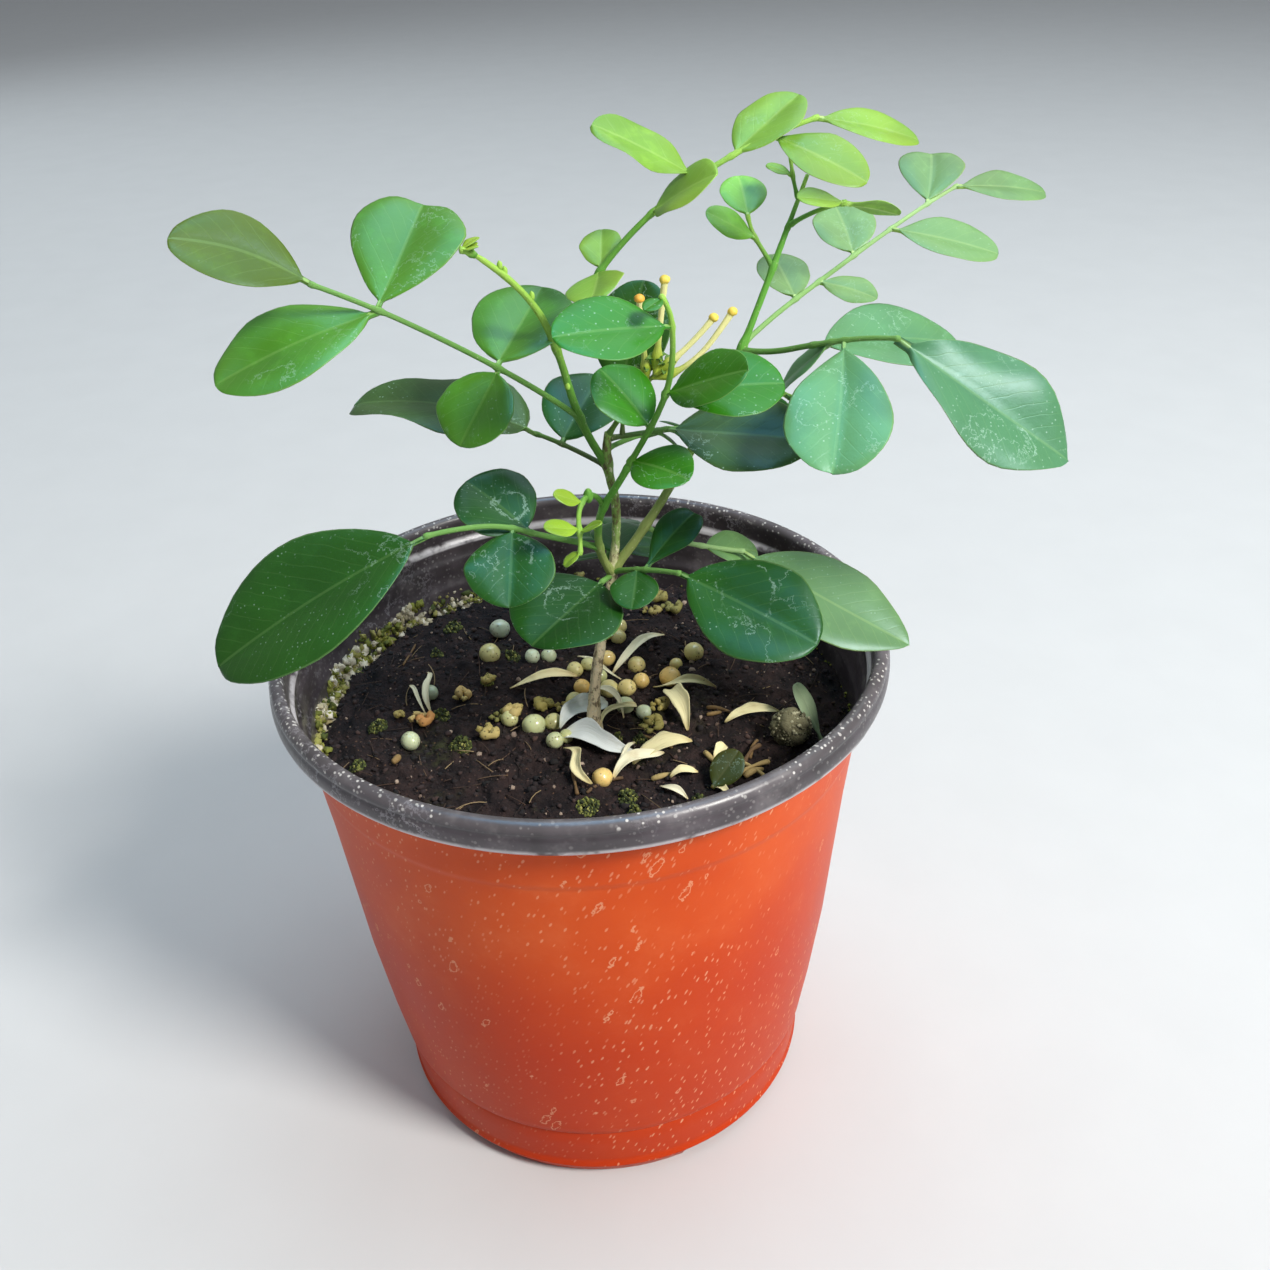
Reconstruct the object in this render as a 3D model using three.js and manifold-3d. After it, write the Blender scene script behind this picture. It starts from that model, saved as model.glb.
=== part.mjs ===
// Potted orange jasmine: a young shrub in a nursery pot, as an assembly of solids.
// Millimetres, +Z up. The origin is the centre of the pot's flat underside.
// Headings are in degrees round +Z from +X, rises are in degrees above the level.

import * as THREE from 'three';
import { mergeVertices } from 'three/addons/utils/BufferGeometryUtils.js';
import Module from 'manifold-3d';

const wasm = await Module();
wasm.setup();

// Driving dimensions of the pot
const POT_HEIGHT = 95;
const RIM_RADIUS = 52.5;
const BAND_HEIGHT = 5.5;
const LIP_WIDTH = 3;
const WALL = 1.2;
const SHOULDER_RADIUS = 49.8;
const LOWER_RADIUS = 40.2;
const LOWER_HEIGHT = 14;
const BASE_RADIUS = 38;
const FLOOR = 3.5;
const NOTCH_COUNT = 5;
const FIRST_NOTCH = -57;
const NOTCH_WIDTH = 14;
const NOTCH_HEIGHT = 1.6;
const NOTCH_DEPTH = 4;
const ROUND_SIDES = 48;

// Driving dimensions of the soil and the plant
const SOIL_TOP = 80;
const SOIL_EDGE_DROP = 3.5;
const GAP = 0.3;
const TRUNK_FOOT = new THREE.Vector3(1.8, -10.8, SOIL_TOP + GAP);
const TRUNK_LENGTH = 54.5;
const LOW_NODE = 31;
const UPPER_NODE = 49.5;
const ROOT_SINK = 0.3;
const PETIOLULE_SHARE = 0.07;
const LEAF_ROWS = 7;
const LIMB_SIDES = 7;
const TWIG_SIDES = 5;
const STEP_LENGTH = 3.5;

const RAD = Math.PI / 180;
const COLOURS = {
  terracotta: 0xc4482a,
  soil: 0x231a15,
  bark: 0x8f8a66,
  greenBark: 0x5f8a35,
  lime: 0x8dbb3a,
  leafGreen: 0x2f7d2c,
  darkGreen: 0x1f5230,
  blueGreen: 0x2d6b4c,
  yellow: 0xd9c34a,
};

// Directions and seeded variation

function direction(heading, rise) {
  const level = Math.cos(rise * RAD);
  return new THREE.Vector3(
    level * Math.cos(heading * RAD),
    level * Math.sin(heading * RAD),
    Math.sin(rise * RAD),
  );
}

function blend(values, share) {
  if (!Array.isArray(values)) return values;
  const place = Math.min(Math.max(share, 0), 1) * (values.length - 1);
  const index = Math.min(Math.floor(place), values.length - 2);
  return THREE.MathUtils.lerp(values[index], values[index + 1], place - index);
}

function seeded(seed) {
  const value = Math.sin(seed * 12.9898) * 43758.5453;
  return value - Math.floor(value);
}

// Solids

function bareGeometry(geometry) {
  geometry.deleteAttribute('normal');
  geometry.deleteAttribute('uv');
  return mergeVertices(geometry, 1e-5);
}

function toSolid(geometry) {
  return new wasm.Manifold(new wasm.Mesh({
    numProp: 3,
    vertProperties: new Float32Array(geometry.attributes.position.array),
    triVerts: new Uint32Array(geometry.index.array),
  }));
}

function toMesh(name, solid, colour, roughness = 0.5) {
  const { vertProperties, triVerts } = solid.getMesh();
  const geometry = new THREE.BufferGeometry();
  geometry.setAttribute('position', new THREE.Float32BufferAttribute(vertProperties, 3));
  geometry.setIndex(new THREE.Uint32BufferAttribute(triVerts, 1));
  geometry.computeVertexNormals();
  const material = new THREE.MeshStandardMaterial({ color: colour, roughness, metalness: 0 });
  const mesh = new THREE.Mesh(geometry, material);
  mesh.name = name;
  return mesh;
}

function moveVertices(geometry, place) {
  const position = geometry.attributes.position;
  for (let i = 0; i < position.count; i += 1) {
    const moved = place(position.getX(i), position.getY(i), position.getZ(i));
    position.setXYZ(i, moved.x, moved.y, moved.z);
  }
  return geometry;
}

// Limbs: a course grows from a point in a direction that turns evenly along it

function growCourse({ from, heading, rise, length }) {
  const steps = Math.max(4, Math.round(length / STEP_LENGTH));
  const points = [from.clone()];
  for (let i = 0; i < steps; i += 1) {
    const share = (i + 0.5) / steps;
    const step = direction(blend(heading, share), blend(rise, share));
    points.push(points[i].clone().addScaledVector(step, length / steps));
  }
  const pointAt = (distance) => {
    const place = Math.min(Math.max(distance / length, 0), 1) * steps;
    const index = Math.min(Math.floor(place), steps - 1);
    return points[index].clone().lerp(points[index + 1], place - index);
  };
  const directionAt = (distance) => direction(
    blend(heading, distance / length),
    blend(rise, distance / length),
  );
  const firstHeading = Array.isArray(heading) ? heading[0] : heading;
  return { length, steps, pointAt, directionAt, level: direction(firstHeading + 90, 0) };
}

function limbSolid(course, thick, sides, extra = 0, overrun = 0) {
  const unit = bareGeometry(new THREE.CylinderGeometry(1, 1, 1, sides, course.steps));
  moveVertices(unit, (x, y, z) => {
    const share = y + 0.5;
    const distance = share * course.length;
    const along = course.directionAt(distance);
    const right = course.level.clone().projectOnPlane(along).normalize();
    const front = right.clone().cross(along);
    const radius = blend(thick, share) + extra;
    const centre = course.pointAt(distance);
    if (share < 0.001) centre.addScaledVector(along, -overrun);
    if (share > 0.999) centre.addScaledVector(along, overrun);
    return centre.addScaledVector(right, x * radius).addScaledVector(front, z * radius);
  });
  return toSolid(unit);
}

function growLimb(limb) {
  const from = limb.on ? limb.on.course.pointAt(limb.at) : limb.from;
  const course = growCourse({ ...limb, from });
  return { ...limb, course };
}

function limbSpace(limb) {
  return limbSolid(limb.course, limb.thick, LIMB_SIDES, GAP, GAP);
}

// Leaflets: a thin folded blade on a short stalk, obovate, its tip round or notched

function leafHalfWidth(leaf, share) {
  const stalk = Math.min(0.4, leaf.width * 0.12);
  if (share <= PETIOLULE_SHARE) return stalk;
  const blade = (share - PETIOLULE_SHARE) / (1 - PETIOLULE_SHARE);
  const widest = leaf.widest ?? 0.56;
  const power = Math.log(0.5) / Math.log(widest);
  const outline = Math.sin(Math.PI * Math.min(blade, 0.97) ** power) ** 0.72;
  return Math.max(stalk, outline * leaf.width / 2);
}

function leafSolid(root, leaf) {
  const { length, width, roll = 0, fold = 12, droop = 0.08, notch = 0 } = leaf;
  const along = direction(leaf.heading, leaf.rise);
  const level = direction(leaf.heading + 90, 0);
  const up = along.clone().cross(level);
  const left = level.clone().multiplyScalar(Math.cos(roll * RAD))
    .addScaledVector(up, -Math.sin(roll * RAD));
  const normal = along.clone().cross(left);
  const thickness = 0.3 + length * 0.006;
  const shares = [0, PETIOLULE_SHARE, 0.17, 0.34, 0.54, 0.74, 0.91, 1];
  const unit = bareGeometry(new THREE.BoxGeometry(2, 1, 1, 2, 1, LEAF_ROWS));
  moveVertices(unit, (x, y, z) => {
    const share = shares[Math.round((z + 0.5) * LEAF_ROWS)];
    const across = x * leafHalfWidth(leaf, share);
    const setBack = share === 1 && x === 0 ? notch * length : 0;
    const lift = Math.abs(across) * Math.tan(fold * RAD) - droop * length * share ** 2;
    return root.clone()
      .addScaledVector(along, share * length - setBack - ROOT_SINK * (share === 0))
      .addScaledVector(left, across)
      .addScaledVector(normal, lift + y * thickness);
  });
  return toSolid(unit);
}

// Buds and flower heads: a small egg-shaped body at the end of a stalk

function budSolid(centre, radius, heightShare) {
  const unit = bareGeometry(new THREE.SphereGeometry(radius, 6, 4));
  moveVertices(unit, (x, y, z) => new THREE.Vector3(x, -z, y * heightShare).add(centre));
  return toSolid(unit);
}

// Masses of foliage: twigs branch from one stem, and leaves that would touch
// another node are skipped

const placed = [];

function isClear(solid) {
  return placed.every((other) => other.intersect(solid).isEmpty());
}

function growTwig(twig, parts, seed) {
  const grown = growLimb(twig);
  parts.push(limbSolid(grown.course, twig.thick, TWIG_SIDES));
  (twig.leaves ?? []).forEach((leaf, index) => {
    const turned = { ...leaf, fold: (leaf.fold ?? 12) + 6 * (seeded(seed + index) - 0.5) };
    const solid = leafSolid(grown.course.pointAt(leaf.at), turned);
    if (isClear(solid)) parts.push(solid);
  });
  (twig.buds ?? []).forEach((bud) => {
    parts.push(budSolid(grown.course.pointAt(bud.at), bud.radius, bud.tall ?? 1));
  });
  (twig.twigs ?? []).forEach((child, index) => {
    growTwig({ ...child, on: grown }, parts, seed + 100 * (index + 1));
  });
}

function largestPiece(solid) {
  const pieces = solid.decompose();
  return pieces.reduce((best, piece) => (piece.volume() > best.volume() ? piece : best));
}

function growMass(mass, seed) {
  const parts = [];
  growTwig(mass, parts, seed);
  const joined = parts.reduce((sum, part) => sum.add(part));
  const solid = largestPiece(joined.subtract(limbSpace(mass.on)));
  placed.push(solid);
  return toMesh(mass.name, solid, mass.colour);
}

// A spray with leaflets left and right in turn, by a seeded rule

function alternateLeaves({ count, length, heading, rise, size, spread, seed }) {
  return Array.from({ length: count }, (_, index) => {
    const share = (index + 1) / count;
    const side = index % 2 === 0 ? 1 : -1;
    const last = index === count - 1;
    const scale = 0.75 + 0.35 * share + 0.12 * (seeded(seed + index) - 0.5);
    return {
      at: length * (0.25 + 0.75 * share),
      heading: heading + (last ? 0 : side * spread) + 14 * (seeded(seed + index + 20) - 0.5),
      rise: rise + 16 * (seeded(seed + index + 40) - 0.5),
      length: size * scale,
      width: size * scale * 0.62,
      roll: 20 * (seeded(seed + index + 60) - 0.5),
    };
  });
}

// Pot

function potProfile() {
  const band = POT_HEIGHT - BAND_HEIGHT;
  const inner = RIM_RADIUS - LIP_WIDTH;
  return [
    [0, 0],
    [BASE_RADIUS, 0],
    [BASE_RADIUS + 1.2, 2.5],
    [LOWER_RADIUS, LOWER_HEIGHT],
    [SHOULDER_RADIUS, band - 1],
    [RIM_RADIUS - 0.9, band],
    [RIM_RADIUS, band + 0.8],
    [RIM_RADIUS, POT_HEIGHT - 1.4],
    [RIM_RADIUS - 0.6, POT_HEIGHT - 0.3],
    [RIM_RADIUS - 1.4, POT_HEIGHT],
    [inner + 0.7, POT_HEIGHT - 0.3],
    [inner, POT_HEIGHT - 1.2],
    [inner - 0.2, band + 0.5],
    [SHOULDER_RADIUS - WALL, band - 2.5],
    [LOWER_RADIUS - WALL, LOWER_HEIGHT],
    [BASE_RADIUS + 1.2 - WALL, FLOOR],
    [0, FLOOR],
  ];
}

function notchSolid(index) {
  const geometry = bareGeometry(new THREE.BoxGeometry(2 * NOTCH_DEPTH, NOTCH_WIDTH, 2 * NOTCH_HEIGHT));
  geometry.translate(BASE_RADIUS, 0, 0);
  geometry.rotateZ((FIRST_NOTCH + (360 * index) / NOTCH_COUNT) * RAD);
  return toSolid(geometry);
}

function latheSolid(profile) {
  const points = profile.map(([radius, height]) => new THREE.Vector2(radius, height));
  const geometry = new THREE.LatheGeometry(points, ROUND_SIDES);
  geometry.rotateX(Math.PI / 2);
  return toSolid(bareGeometry(geometry));
}

function buildPot() {
  let solid = latheSolid(potProfile());
  for (let i = 0; i < NOTCH_COUNT; i += 1) solid = solid.subtract(notchSolid(i));
  placed.push(solid);
  return toMesh('pot', solid, COLOURS.terracotta, 0.45);
}

// Soil: fills the pot to a slightly domed surface

function innerRadius(height) {
  const share = (height - LOWER_HEIGHT) / (POT_HEIGHT - BAND_HEIGHT - 2.5 - LOWER_HEIGHT);
  return LOWER_RADIUS + share * (SHOULDER_RADIUS - LOWER_RADIUS) - WALL;
}

function buildSoil() {
  const edge = SOIL_TOP - SOIL_EDGE_DROP;
  const solid = latheSolid([
    [0, FLOOR + GAP],
    [BASE_RADIUS + 0.6 - WALL, FLOOR + GAP],
    [innerRadius(LOWER_HEIGHT) - 0.4, LOWER_HEIGHT],
    [innerRadius(edge) - 0.4, edge],
    [innerRadius(edge) * 0.85, edge + SOIL_EDGE_DROP * 0.7],
    [innerRadius(edge) * 0.5, SOIL_TOP],
    [0, SOIL_TOP],
  ]);
  placed.push(solid);
  return toMesh('soil', solid, COLOURS.soil, 0.95);
}

// Trunk and boughs

const trunk = growLimb({
  from: TRUNK_FOOT,
  heading: [30, 18, 20, 20],
  rise: [88, 84, 78, 78, 80, 86, 103, 76],
  length: TRUNK_LENGTH,
  thick: [1.7, 1.15, 1.05, 0.95, 0.85, 0.8, 0.8, 0.8, 0.75],
});
const leftShoot = growLimb({
  on: trunk,
  at: UPPER_NODE,
  heading: [186, 200, 218, 208, 198, 192],
  rise: [56, 71, 77, 69, 50, 36],
  length: 39,
  thick: [0.75, 0.7, 0.6, 0.5],
});
const rightShoot = growLimb({
  on: trunk,
  at: LOW_NODE,
  heading: [8, 17, 28, 30, 38],
  rise: [50, 56, 56, 64, 62],
  length: 58,
  thick: [0.9, 0.8, 0.65, 0.5],
});
const frontShoot = growLimb({
  on: trunk,
  at: LOW_NODE - 0.5,
  heading: [-135, -100, -75, -40, -26],
  rise: [55, 62, 62, 55, 62],
  length: 28,
  thick: [0.8, 0.7, 0.6],
});

function buildTrunk() {
  const solid = limbSolid(trunk.course, trunk.thick, LIMB_SIDES + 1);
  const foot = toSolid(bareGeometry(new THREE.BoxGeometry(20, 20, 10))
    .translate(TRUNK_FOOT.x, TRUNK_FOOT.y, TRUNK_FOOT.z - 5));
  const cut = solid.subtract(foot);
  placed.push(cut);
  return toMesh('trunk', cut, COLOURS.bark, 0.8);
}

function buildShoot(name, shoot, others = []) {
  const whole = limbSolid(shoot.course, shoot.thick, LIMB_SIDES);
  const cut = others.reduce((solid, other) => solid.subtract(limbSpace(other)), whole);
  const solid = largestPiece(cut.subtract(limbSpace(trunk)));
  placed.push(solid);
  return toMesh(name, solid, COLOURS.greenBark, 0.6);
}

// Masses of foliage, each on the limb that carries it

const leavesLeft = {
  name: 'leaves_left',
  on: leftShoot,
  at: 8.8,
  heading: [201, 202, 204, 200],
  rise: [43, 37, 34, 28],
  length: 44,
  thick: [0.55, 0.45, 0.4],
  colour: COLOURS.blueGreen,
  leaves: [
    { at: 15, heading: 229, rise: -40, length: 12.5, width: 12.5, roll: 10 },
    { at: 15.5, heading: 72, rise: 19, length: 17.5, width: 12.5, roll: -4 },
    { at: 34, heading: 201, rise: -12, length: 23, width: 14, roll: 24 },
    { at: 34.5, heading: 71, rise: 39, length: 17.5, width: 15.5, roll: -10, notch: 0.1, widest: 0.62 },
    { at: 43.6, heading: 195, rise: 27, length: 18, width: 12, roll: 30, droop: 0.12 },
  ],
};

const leavesBackLeft = {
  name: 'leaves_back_left',
  on: trunk,
  at: UPPER_NODE - 0.6,
  heading: [150, 142],
  rise: [20, 2],
  length: 15,
  thick: [0.5, 0.4],
  colour: COLOURS.darkGreen,
  leaves: [
    { at: 8.5, heading: 62, rise: 27, length: 15.5, width: 13, roll: -10 },
    { at: 14.8, heading: 169, rise: 17, length: 27, width: 13, roll: 20 },
  ],
};

const budLeft = {
  name: 'bud_left',
  on: leftShoot,
  at: 38.6,
  heading: [192, 200],
  rise: [30, -10],
  length: 3,
  thick: [0.45, 0.35],
  colour: COLOURS.lime,
  leaves: [
    { at: 1.2, heading: 25, rise: 45, length: 2.8, width: 1.5 },
    { at: 2.4, heading: 60, rise: 30, length: 2.8, width: 1.5 },
    { at: 2.9, heading: 240, rise: 5, length: 2.6, width: 1.5 },
  ],
};

const leavesUpper = {
  name: 'leaves_upper',
  on: leftShoot,
  at: 20.5,
  heading: [-4, 10, 12, 12, 12, 18],
  rise: [64, 54, 41, 30, 21, 11],
  length: 49,
  thick: [0.55, 0.5, 0.4],
  colour: COLOURS.lime,
  leaves: [
    { at: 12.3, heading: 262, rise: -3, length: 9.5, width: 8, roll: -18 },
    { at: 12.8, heading: 88, rise: 32, length: 8, width: 6, roll: 6 },
    { at: 22, heading: 317, rise: 27, length: 12, width: 7.5, roll: -35 },
    { at: 30.5, heading: 192, rise: 29, length: 16, width: 8, roll: 30 },
    { at: 36, heading: 34, rise: 32, length: 12.5, width: 9, roll: -12 },
    { at: 42, heading: 329, rise: -12, length: 14, width: 9, roll: -20 },
    { at: 48.6, heading: 11, rise: -11, length: 16, width: 7.5, roll: -24 },
  ],
};

const leavesUpperBack = {
  name: 'leaves_upper_back',
  on: rightShoot,
  at: 52.2,
  heading: [145, 135, 118],
  rise: [54, 46, 68],
  length: 8.5,
  thick: [0.45, 0.35],
  colour: COLOURS.leafGreen,
  leaves: [
    { at: 5, heading: 188, rise: 34, length: 8.6, width: 5.5, roll: 35 },
    { at: 8.3, heading: 98, rise: 38, length: 8, width: 7, roll: 0 },
  ],
};

const leavesTop = {
  name: 'leaves_top',
  on: rightShoot,
  at: 57.6,
  heading: 45,
  rise: 57,
  length: 8.5,
  thick: [0.45, 0.35],
  colour: COLOURS.lime,
  twigs: [
    {
      at: 0.8,
      heading: -11,
      rise: [35, 10],
      length: 9,
      thick: [0.45, 0.35],
      leaves: [
        { at: 8.6, heading: 197, rise: 16, length: 7.5, width: 5, roll: 20 },
        { at: 8.8, heading: 14, rise: -12, length: 9, width: 5, roll: 30 },
      ],
    },
    {
      at: 4.8,
      heading: [160, 95],
      rise: 72,
      length: 6,
      thick: [0.35, 0.3],
      leaves: [
        { at: 3.5, heading: 165, rise: 23, length: 4.2, width: 2.4, roll: 18 },
        { at: 5.8, heading: 49, rise: 47, length: 4, width: 2.4 },
      ],
    },
  ],
};

const leavesRight = {
  name: 'leaves_right',
  on: rightShoot,
  at: 40.5,
  heading: [38, 36, 33, 33, 30],
  rise: [26, 19, 21, 19, 16],
  length: 46.5,
  thick: [0.5, 0.45, 0.35],
  colour: COLOURS.leafGreen,
  leaves: [
    { at: 11.5, heading: 108, rise: 32, length: 10, width: 8.5, roll: 0 },
    { at: 16.5, heading: 329, rise: -5, length: 9.6, width: 6, roll: -20 },
    { at: 24, heading: 101, rise: 34, length: 11, width: 10, roll: 5 },
    { at: 32, heading: 350, rise: -9, length: 17.5, width: 9.5, roll: -22 },
    { at: 40, heading: 77, rise: 36, length: 11.5, width: 10.5, roll: 0, notch: 0.06, widest: 0.64 },
    { at: 46, heading: 7, rise: 0, length: 16, width: 7.5, roll: -24, droop: 0.16 },
  ],
};

const leavesDarkRight = {
  name: 'leaves_dark_right',
  on: rightShoot,
  at: 39.5,
  heading: [-35, -37, -33, -37],
  rise: [2, 20, 16, 6],
  length: 26,
  thick: [0.55, 0.5, 0.4],
  colour: COLOURS.blueGreen,
  leaves: [
    { at: 16, heading: 21, rise: -12, length: 22, width: 12.5, roll: -20 },
    { at: 15.5, heading: 145, rise: -42, length: 12, width: 7, roll: 25 },
    { at: 17.5, heading: 258, rise: -32, length: 23, width: 15, notch: 0.03, widest: 0.6 },
    { at: 25.6, heading: 341, rise: -34, length: 31, width: 18, roll: -35, notch: 0.03 },
  ],
};

const leavesFront = {
  name: 'leaves_front',
  on: frontShoot,
  at: 27.6,
  heading: [-22, -28, -32, -60, -100, -140],
  rise: [60, 60, 66, 76, 80, 76],
  length: 28.5,
  thick: [0.55, 0.5, 0.4],
  colour: COLOURS.leafGreen,
  leaves: [
    { at: 0.8, heading: 317, rise: 4, length: 10.5, width: 9, roll: -20 },
    { at: 7, heading: 146, rise: 46, length: 11, width: 11, roll: 8 },
    { at: 13, heading: 323, rise: 28, length: 14, width: 9.5, roll: -36 },
    { at: 13.2, heading: 14, rise: 16, length: 16, width: 10.5, roll: -28 },
    { at: 23.5, heading: 202, rise: 8, length: 16.5, width: 11, roll: 30 },
    { at: 28, heading: 190, rise: -35, length: 4.5, width: 3, roll: 20 },
  ],
};

const leavesYoung = {
  name: 'leaves_young',
  on: frontShoot,
  at: 18.3,
  heading: [-125, -128, -118, -77, -110],
  rise: [66, 36, -40, -76, -71],
  length: 14.5,
  thick: [0.5, 0.45, 0.35],
  colour: COLOURS.lime,
  buds: [{ at: 5, radius: 0.7, tall: 1.6 }],
  leaves: [
    { at: 6.8, heading: 209, rise: 33, length: 5, width: 2.8, roll: 35 },
    { at: 10.8, heading: 209, rise: 23, length: 5.8, width: 3.4, roll: 25 },
    { at: 11.2, heading: 327, rise: 36, length: 4.5, width: 2.2, roll: -20 },
    { at: 14, heading: 200, rise: -30, length: 3.2, width: 2.6 },
  ],
};

const leavesLowLeft = {
  name: 'leaves_low_left',
  on: frontShoot,
  at: 7.5,
  heading: [-152, -150, -150, -160, -157],
  rise: [30, 26, 30, 6, -3],
  length: 29.5,
  thick: [0.6, 0.5, 0.45],
  colour: COLOURS.darkGreen,
  leaves: [
    { at: 12.8, heading: 148, rise: 31, length: 13, width: 13.5, roll: 15 },
    { at: 16, heading: 267, rise: -31, length: 12.8, width: 13 },
    { at: 29, heading: 193, rise: -23, length: 37, width: 19.5, roll: 26, droop: 0.1 },
  ],
};

const leavesLowRight = {
  name: 'leaves_low_right',
  on: trunk,
  at: LOW_NODE - 0.3,
  heading: -41,
  rise: [24, 10],
  length: 14.5,
  thick: [0.55, 0.5, 0.45],
  colour: COLOURS.darkGreen,
  leaves: [
    { at: 5.5, heading: 263, rise: -8, length: 9, width: 7.5 },
    { at: 7.2, heading: 39, rise: 34, length: 13, width: 7.5, roll: -10, notch: 0.06, widest: 0.62 },
    { at: 14.2, heading: 325, rise: -10, length: 24, width: 16.5, roll: -30 },
  ],
};

const leavesLowBackRight = {
  name: 'leaves_low_back_right',
  on: rightShoot,
  at: 9,
  heading: [30, 10, -10],
  rise: [-46, -20, -4],
  length: 18,
  thick: [0.5, 0.45],
  colour: COLOURS.leafGreen,
  leaves: [
    { at: 11, heading: 17, rise: -14, length: 10.5, width: 7, roll: -25 },
    { at: 17.8, heading: 333, rise: -18, length: 30, width: 15, roll: -22 },
  ],
};

const leafLowFront = {
  name: 'leaf_low_front',
  on: trunk,
  at: LOW_NODE - 0.9,
  heading: 232,
  rise: 0,
  length: 3,
  thick: [0.5, 0.45],
  colour: COLOURS.darkGreen,
  leaves: [
    { at: 2.8, heading: 230, rise: -3, length: 17.5, width: 16, roll: 13 },
  ],
};

const leafLowBack = {
  name: 'leaf_low_back',
  on: trunk,
  at: LOW_NODE + 0.6,
  heading: 80,
  rise: 10,
  length: 3,
  thick: [0.45, 0.4],
  colour: COLOURS.darkGreen,
  leaves: [
    { at: 2.8, heading: 86, rise: 1, length: 13, width: 9 },
  ],
};

const leavesMiddleBack = {
  name: 'leaves_middle_back',
  on: trunk,
  at: TRUNK_LENGTH - 0.9,
  heading: 0,
  rise: 7,
  length: 9,
  thick: [0.5, 0.45],
  colour: COLOURS.darkGreen,
  leaves: [
    { at: 7.5, heading: 20, rise: -42, length: 6, width: 4 },
    { at: 8.8, heading: -14, rise: 2, length: 22, width: 14.5, roll: -30 },
  ],
  twigs: [
    {
      at: 2.2,
      heading: 75,
      rise: 76,
      length: 6,
      thick: [0.4, 0.35],
      leaves: [{ at: 5.8, heading: 64, rise: 60, length: 16.5, width: 11 }],
    },
  ],
};

const flowerRemains = {
  name: 'flower_remains',
  on: trunk,
  at: TRUNK_LENGTH - 0.4,
  heading: -35,
  rise: [57, 47],
  length: 14.5,
  thick: [0.5, 0.35],
  colour: COLOURS.yellow,
  twigs: [
    { at: 12, heading: -80, rise: 80, length: 12, thick: 0.35, buds: [{ at: 12, radius: 0.75 }] },
    { at: 14.2, heading: 0, rise: 83, length: 13.5, thick: 0.35, buds: [{ at: 13.5, radius: 0.75 }] },
    {
      at: 14.3,
      heading: [4, 14],
      rise: [34, 48],
      length: 11.2,
      thick: 0.35,
      buds: [{ at: 11.2, radius: 0.75 }],
    },
    {
      at: 13.4,
      heading: [-4, 20],
      rise: [2, 32, 50, 52],
      length: 15,
      thick: 0.35,
      buds: [{ at: 15, radius: 0.75 }],
    },
  ],
};

const leavesBackLow = {
  name: 'leaves_back_low',
  on: trunk,
  at: LOW_NODE - 4,
  heading: [92, 84],
  rise: [16, -22],
  length: 24,
  thick: [0.5, 0.4],
  colour: COLOURS.darkGreen,
  leaves: alternateLeaves({
    count: 5, length: 24, heading: 86, rise: -14, size: 12, spread: 62, seed: 3,
  }),
};

const leavesBackMiddle = {
  name: 'leaves_back_middle',
  on: trunk,
  at: UPPER_NODE + 2.4,
  heading: [50, 38],
  rise: [0, -24],
  length: 26,
  thick: [0.5, 0.4],
  colour: COLOURS.darkGreen,
  leaves: alternateLeaves({
    count: 5, length: 26, heading: 42, rise: -18, size: 11.5, spread: 52, seed: 11,
  }),
};

const leavesBackRight = {
  name: 'leaves_back_right',
  on: rightShoot,
  at: 29,
  heading: [60, 40],
  rise: [5, -32],
  length: 26,
  thick: [0.5, 0.4],
  colour: COLOURS.leafGreen,
  leaves: alternateLeaves({
    count: 5, length: 26, heading: 45, rise: -32, size: 12, spread: 60, seed: 23,
  }),
};

const masses = [
  leavesLeft, leavesBackLeft, budLeft, leavesUpper, leavesUpperBack, leavesTop,
  leavesRight, leavesDarkRight, leavesFront, leavesYoung, leavesLowLeft, leavesLowRight,
  leavesLowBackRight, leafLowFront, leafLowBack, leavesMiddleBack, flowerRemains,
  leavesBackLow, leavesBackMiddle, leavesBackRight,
];

const plant = new THREE.Group();
plant.add(buildPot());
plant.add(buildSoil());
plant.add(buildTrunk());
plant.add(buildShoot('left_shoot', leftShoot));
plant.add(buildShoot('right_shoot', rightShoot));
plant.add(buildShoot('front_shoot', frontShoot, [rightShoot]));
masses.forEach((mass, index) => plant.add(growMass(mass, 1000 * (index + 1))));

export default plant;
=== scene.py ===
"""Potted orange jasmine: the finished surfaces of the plant, its soil and its pot,
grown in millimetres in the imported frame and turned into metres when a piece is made."""

import math

import bpy
import numpy as np
from mathutils import Matrix, Vector, noise


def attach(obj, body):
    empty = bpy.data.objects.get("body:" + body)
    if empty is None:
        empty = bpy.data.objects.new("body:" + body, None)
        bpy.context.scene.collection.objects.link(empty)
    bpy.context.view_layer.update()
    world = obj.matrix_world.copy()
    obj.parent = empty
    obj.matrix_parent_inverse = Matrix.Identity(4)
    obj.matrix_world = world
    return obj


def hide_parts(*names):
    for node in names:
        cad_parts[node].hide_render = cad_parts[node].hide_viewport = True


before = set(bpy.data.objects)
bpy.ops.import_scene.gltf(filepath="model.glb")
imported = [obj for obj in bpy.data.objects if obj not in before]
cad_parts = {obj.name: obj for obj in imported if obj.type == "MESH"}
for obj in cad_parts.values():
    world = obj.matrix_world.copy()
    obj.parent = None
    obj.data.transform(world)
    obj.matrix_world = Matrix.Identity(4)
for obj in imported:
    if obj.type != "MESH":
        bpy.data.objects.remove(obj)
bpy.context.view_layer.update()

# Sizes shared with the solids, in millimetres
WALL = 1.2
SHOULDER_RADIUS = 49.8
LOWER_RADIUS = 40.2
LOWER_HEIGHT = 14.0
BASE_RADIUS = 38.0
FLOOR = 3.5
NOTCH_COUNT = 5
FIRST_NOTCH = -57
NOTCH_HALF_ANGLE = 10.9
NOTCH_SIDE_ANGLE = 0.35
NOTCH_HEIGHT = 1.6
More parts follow.
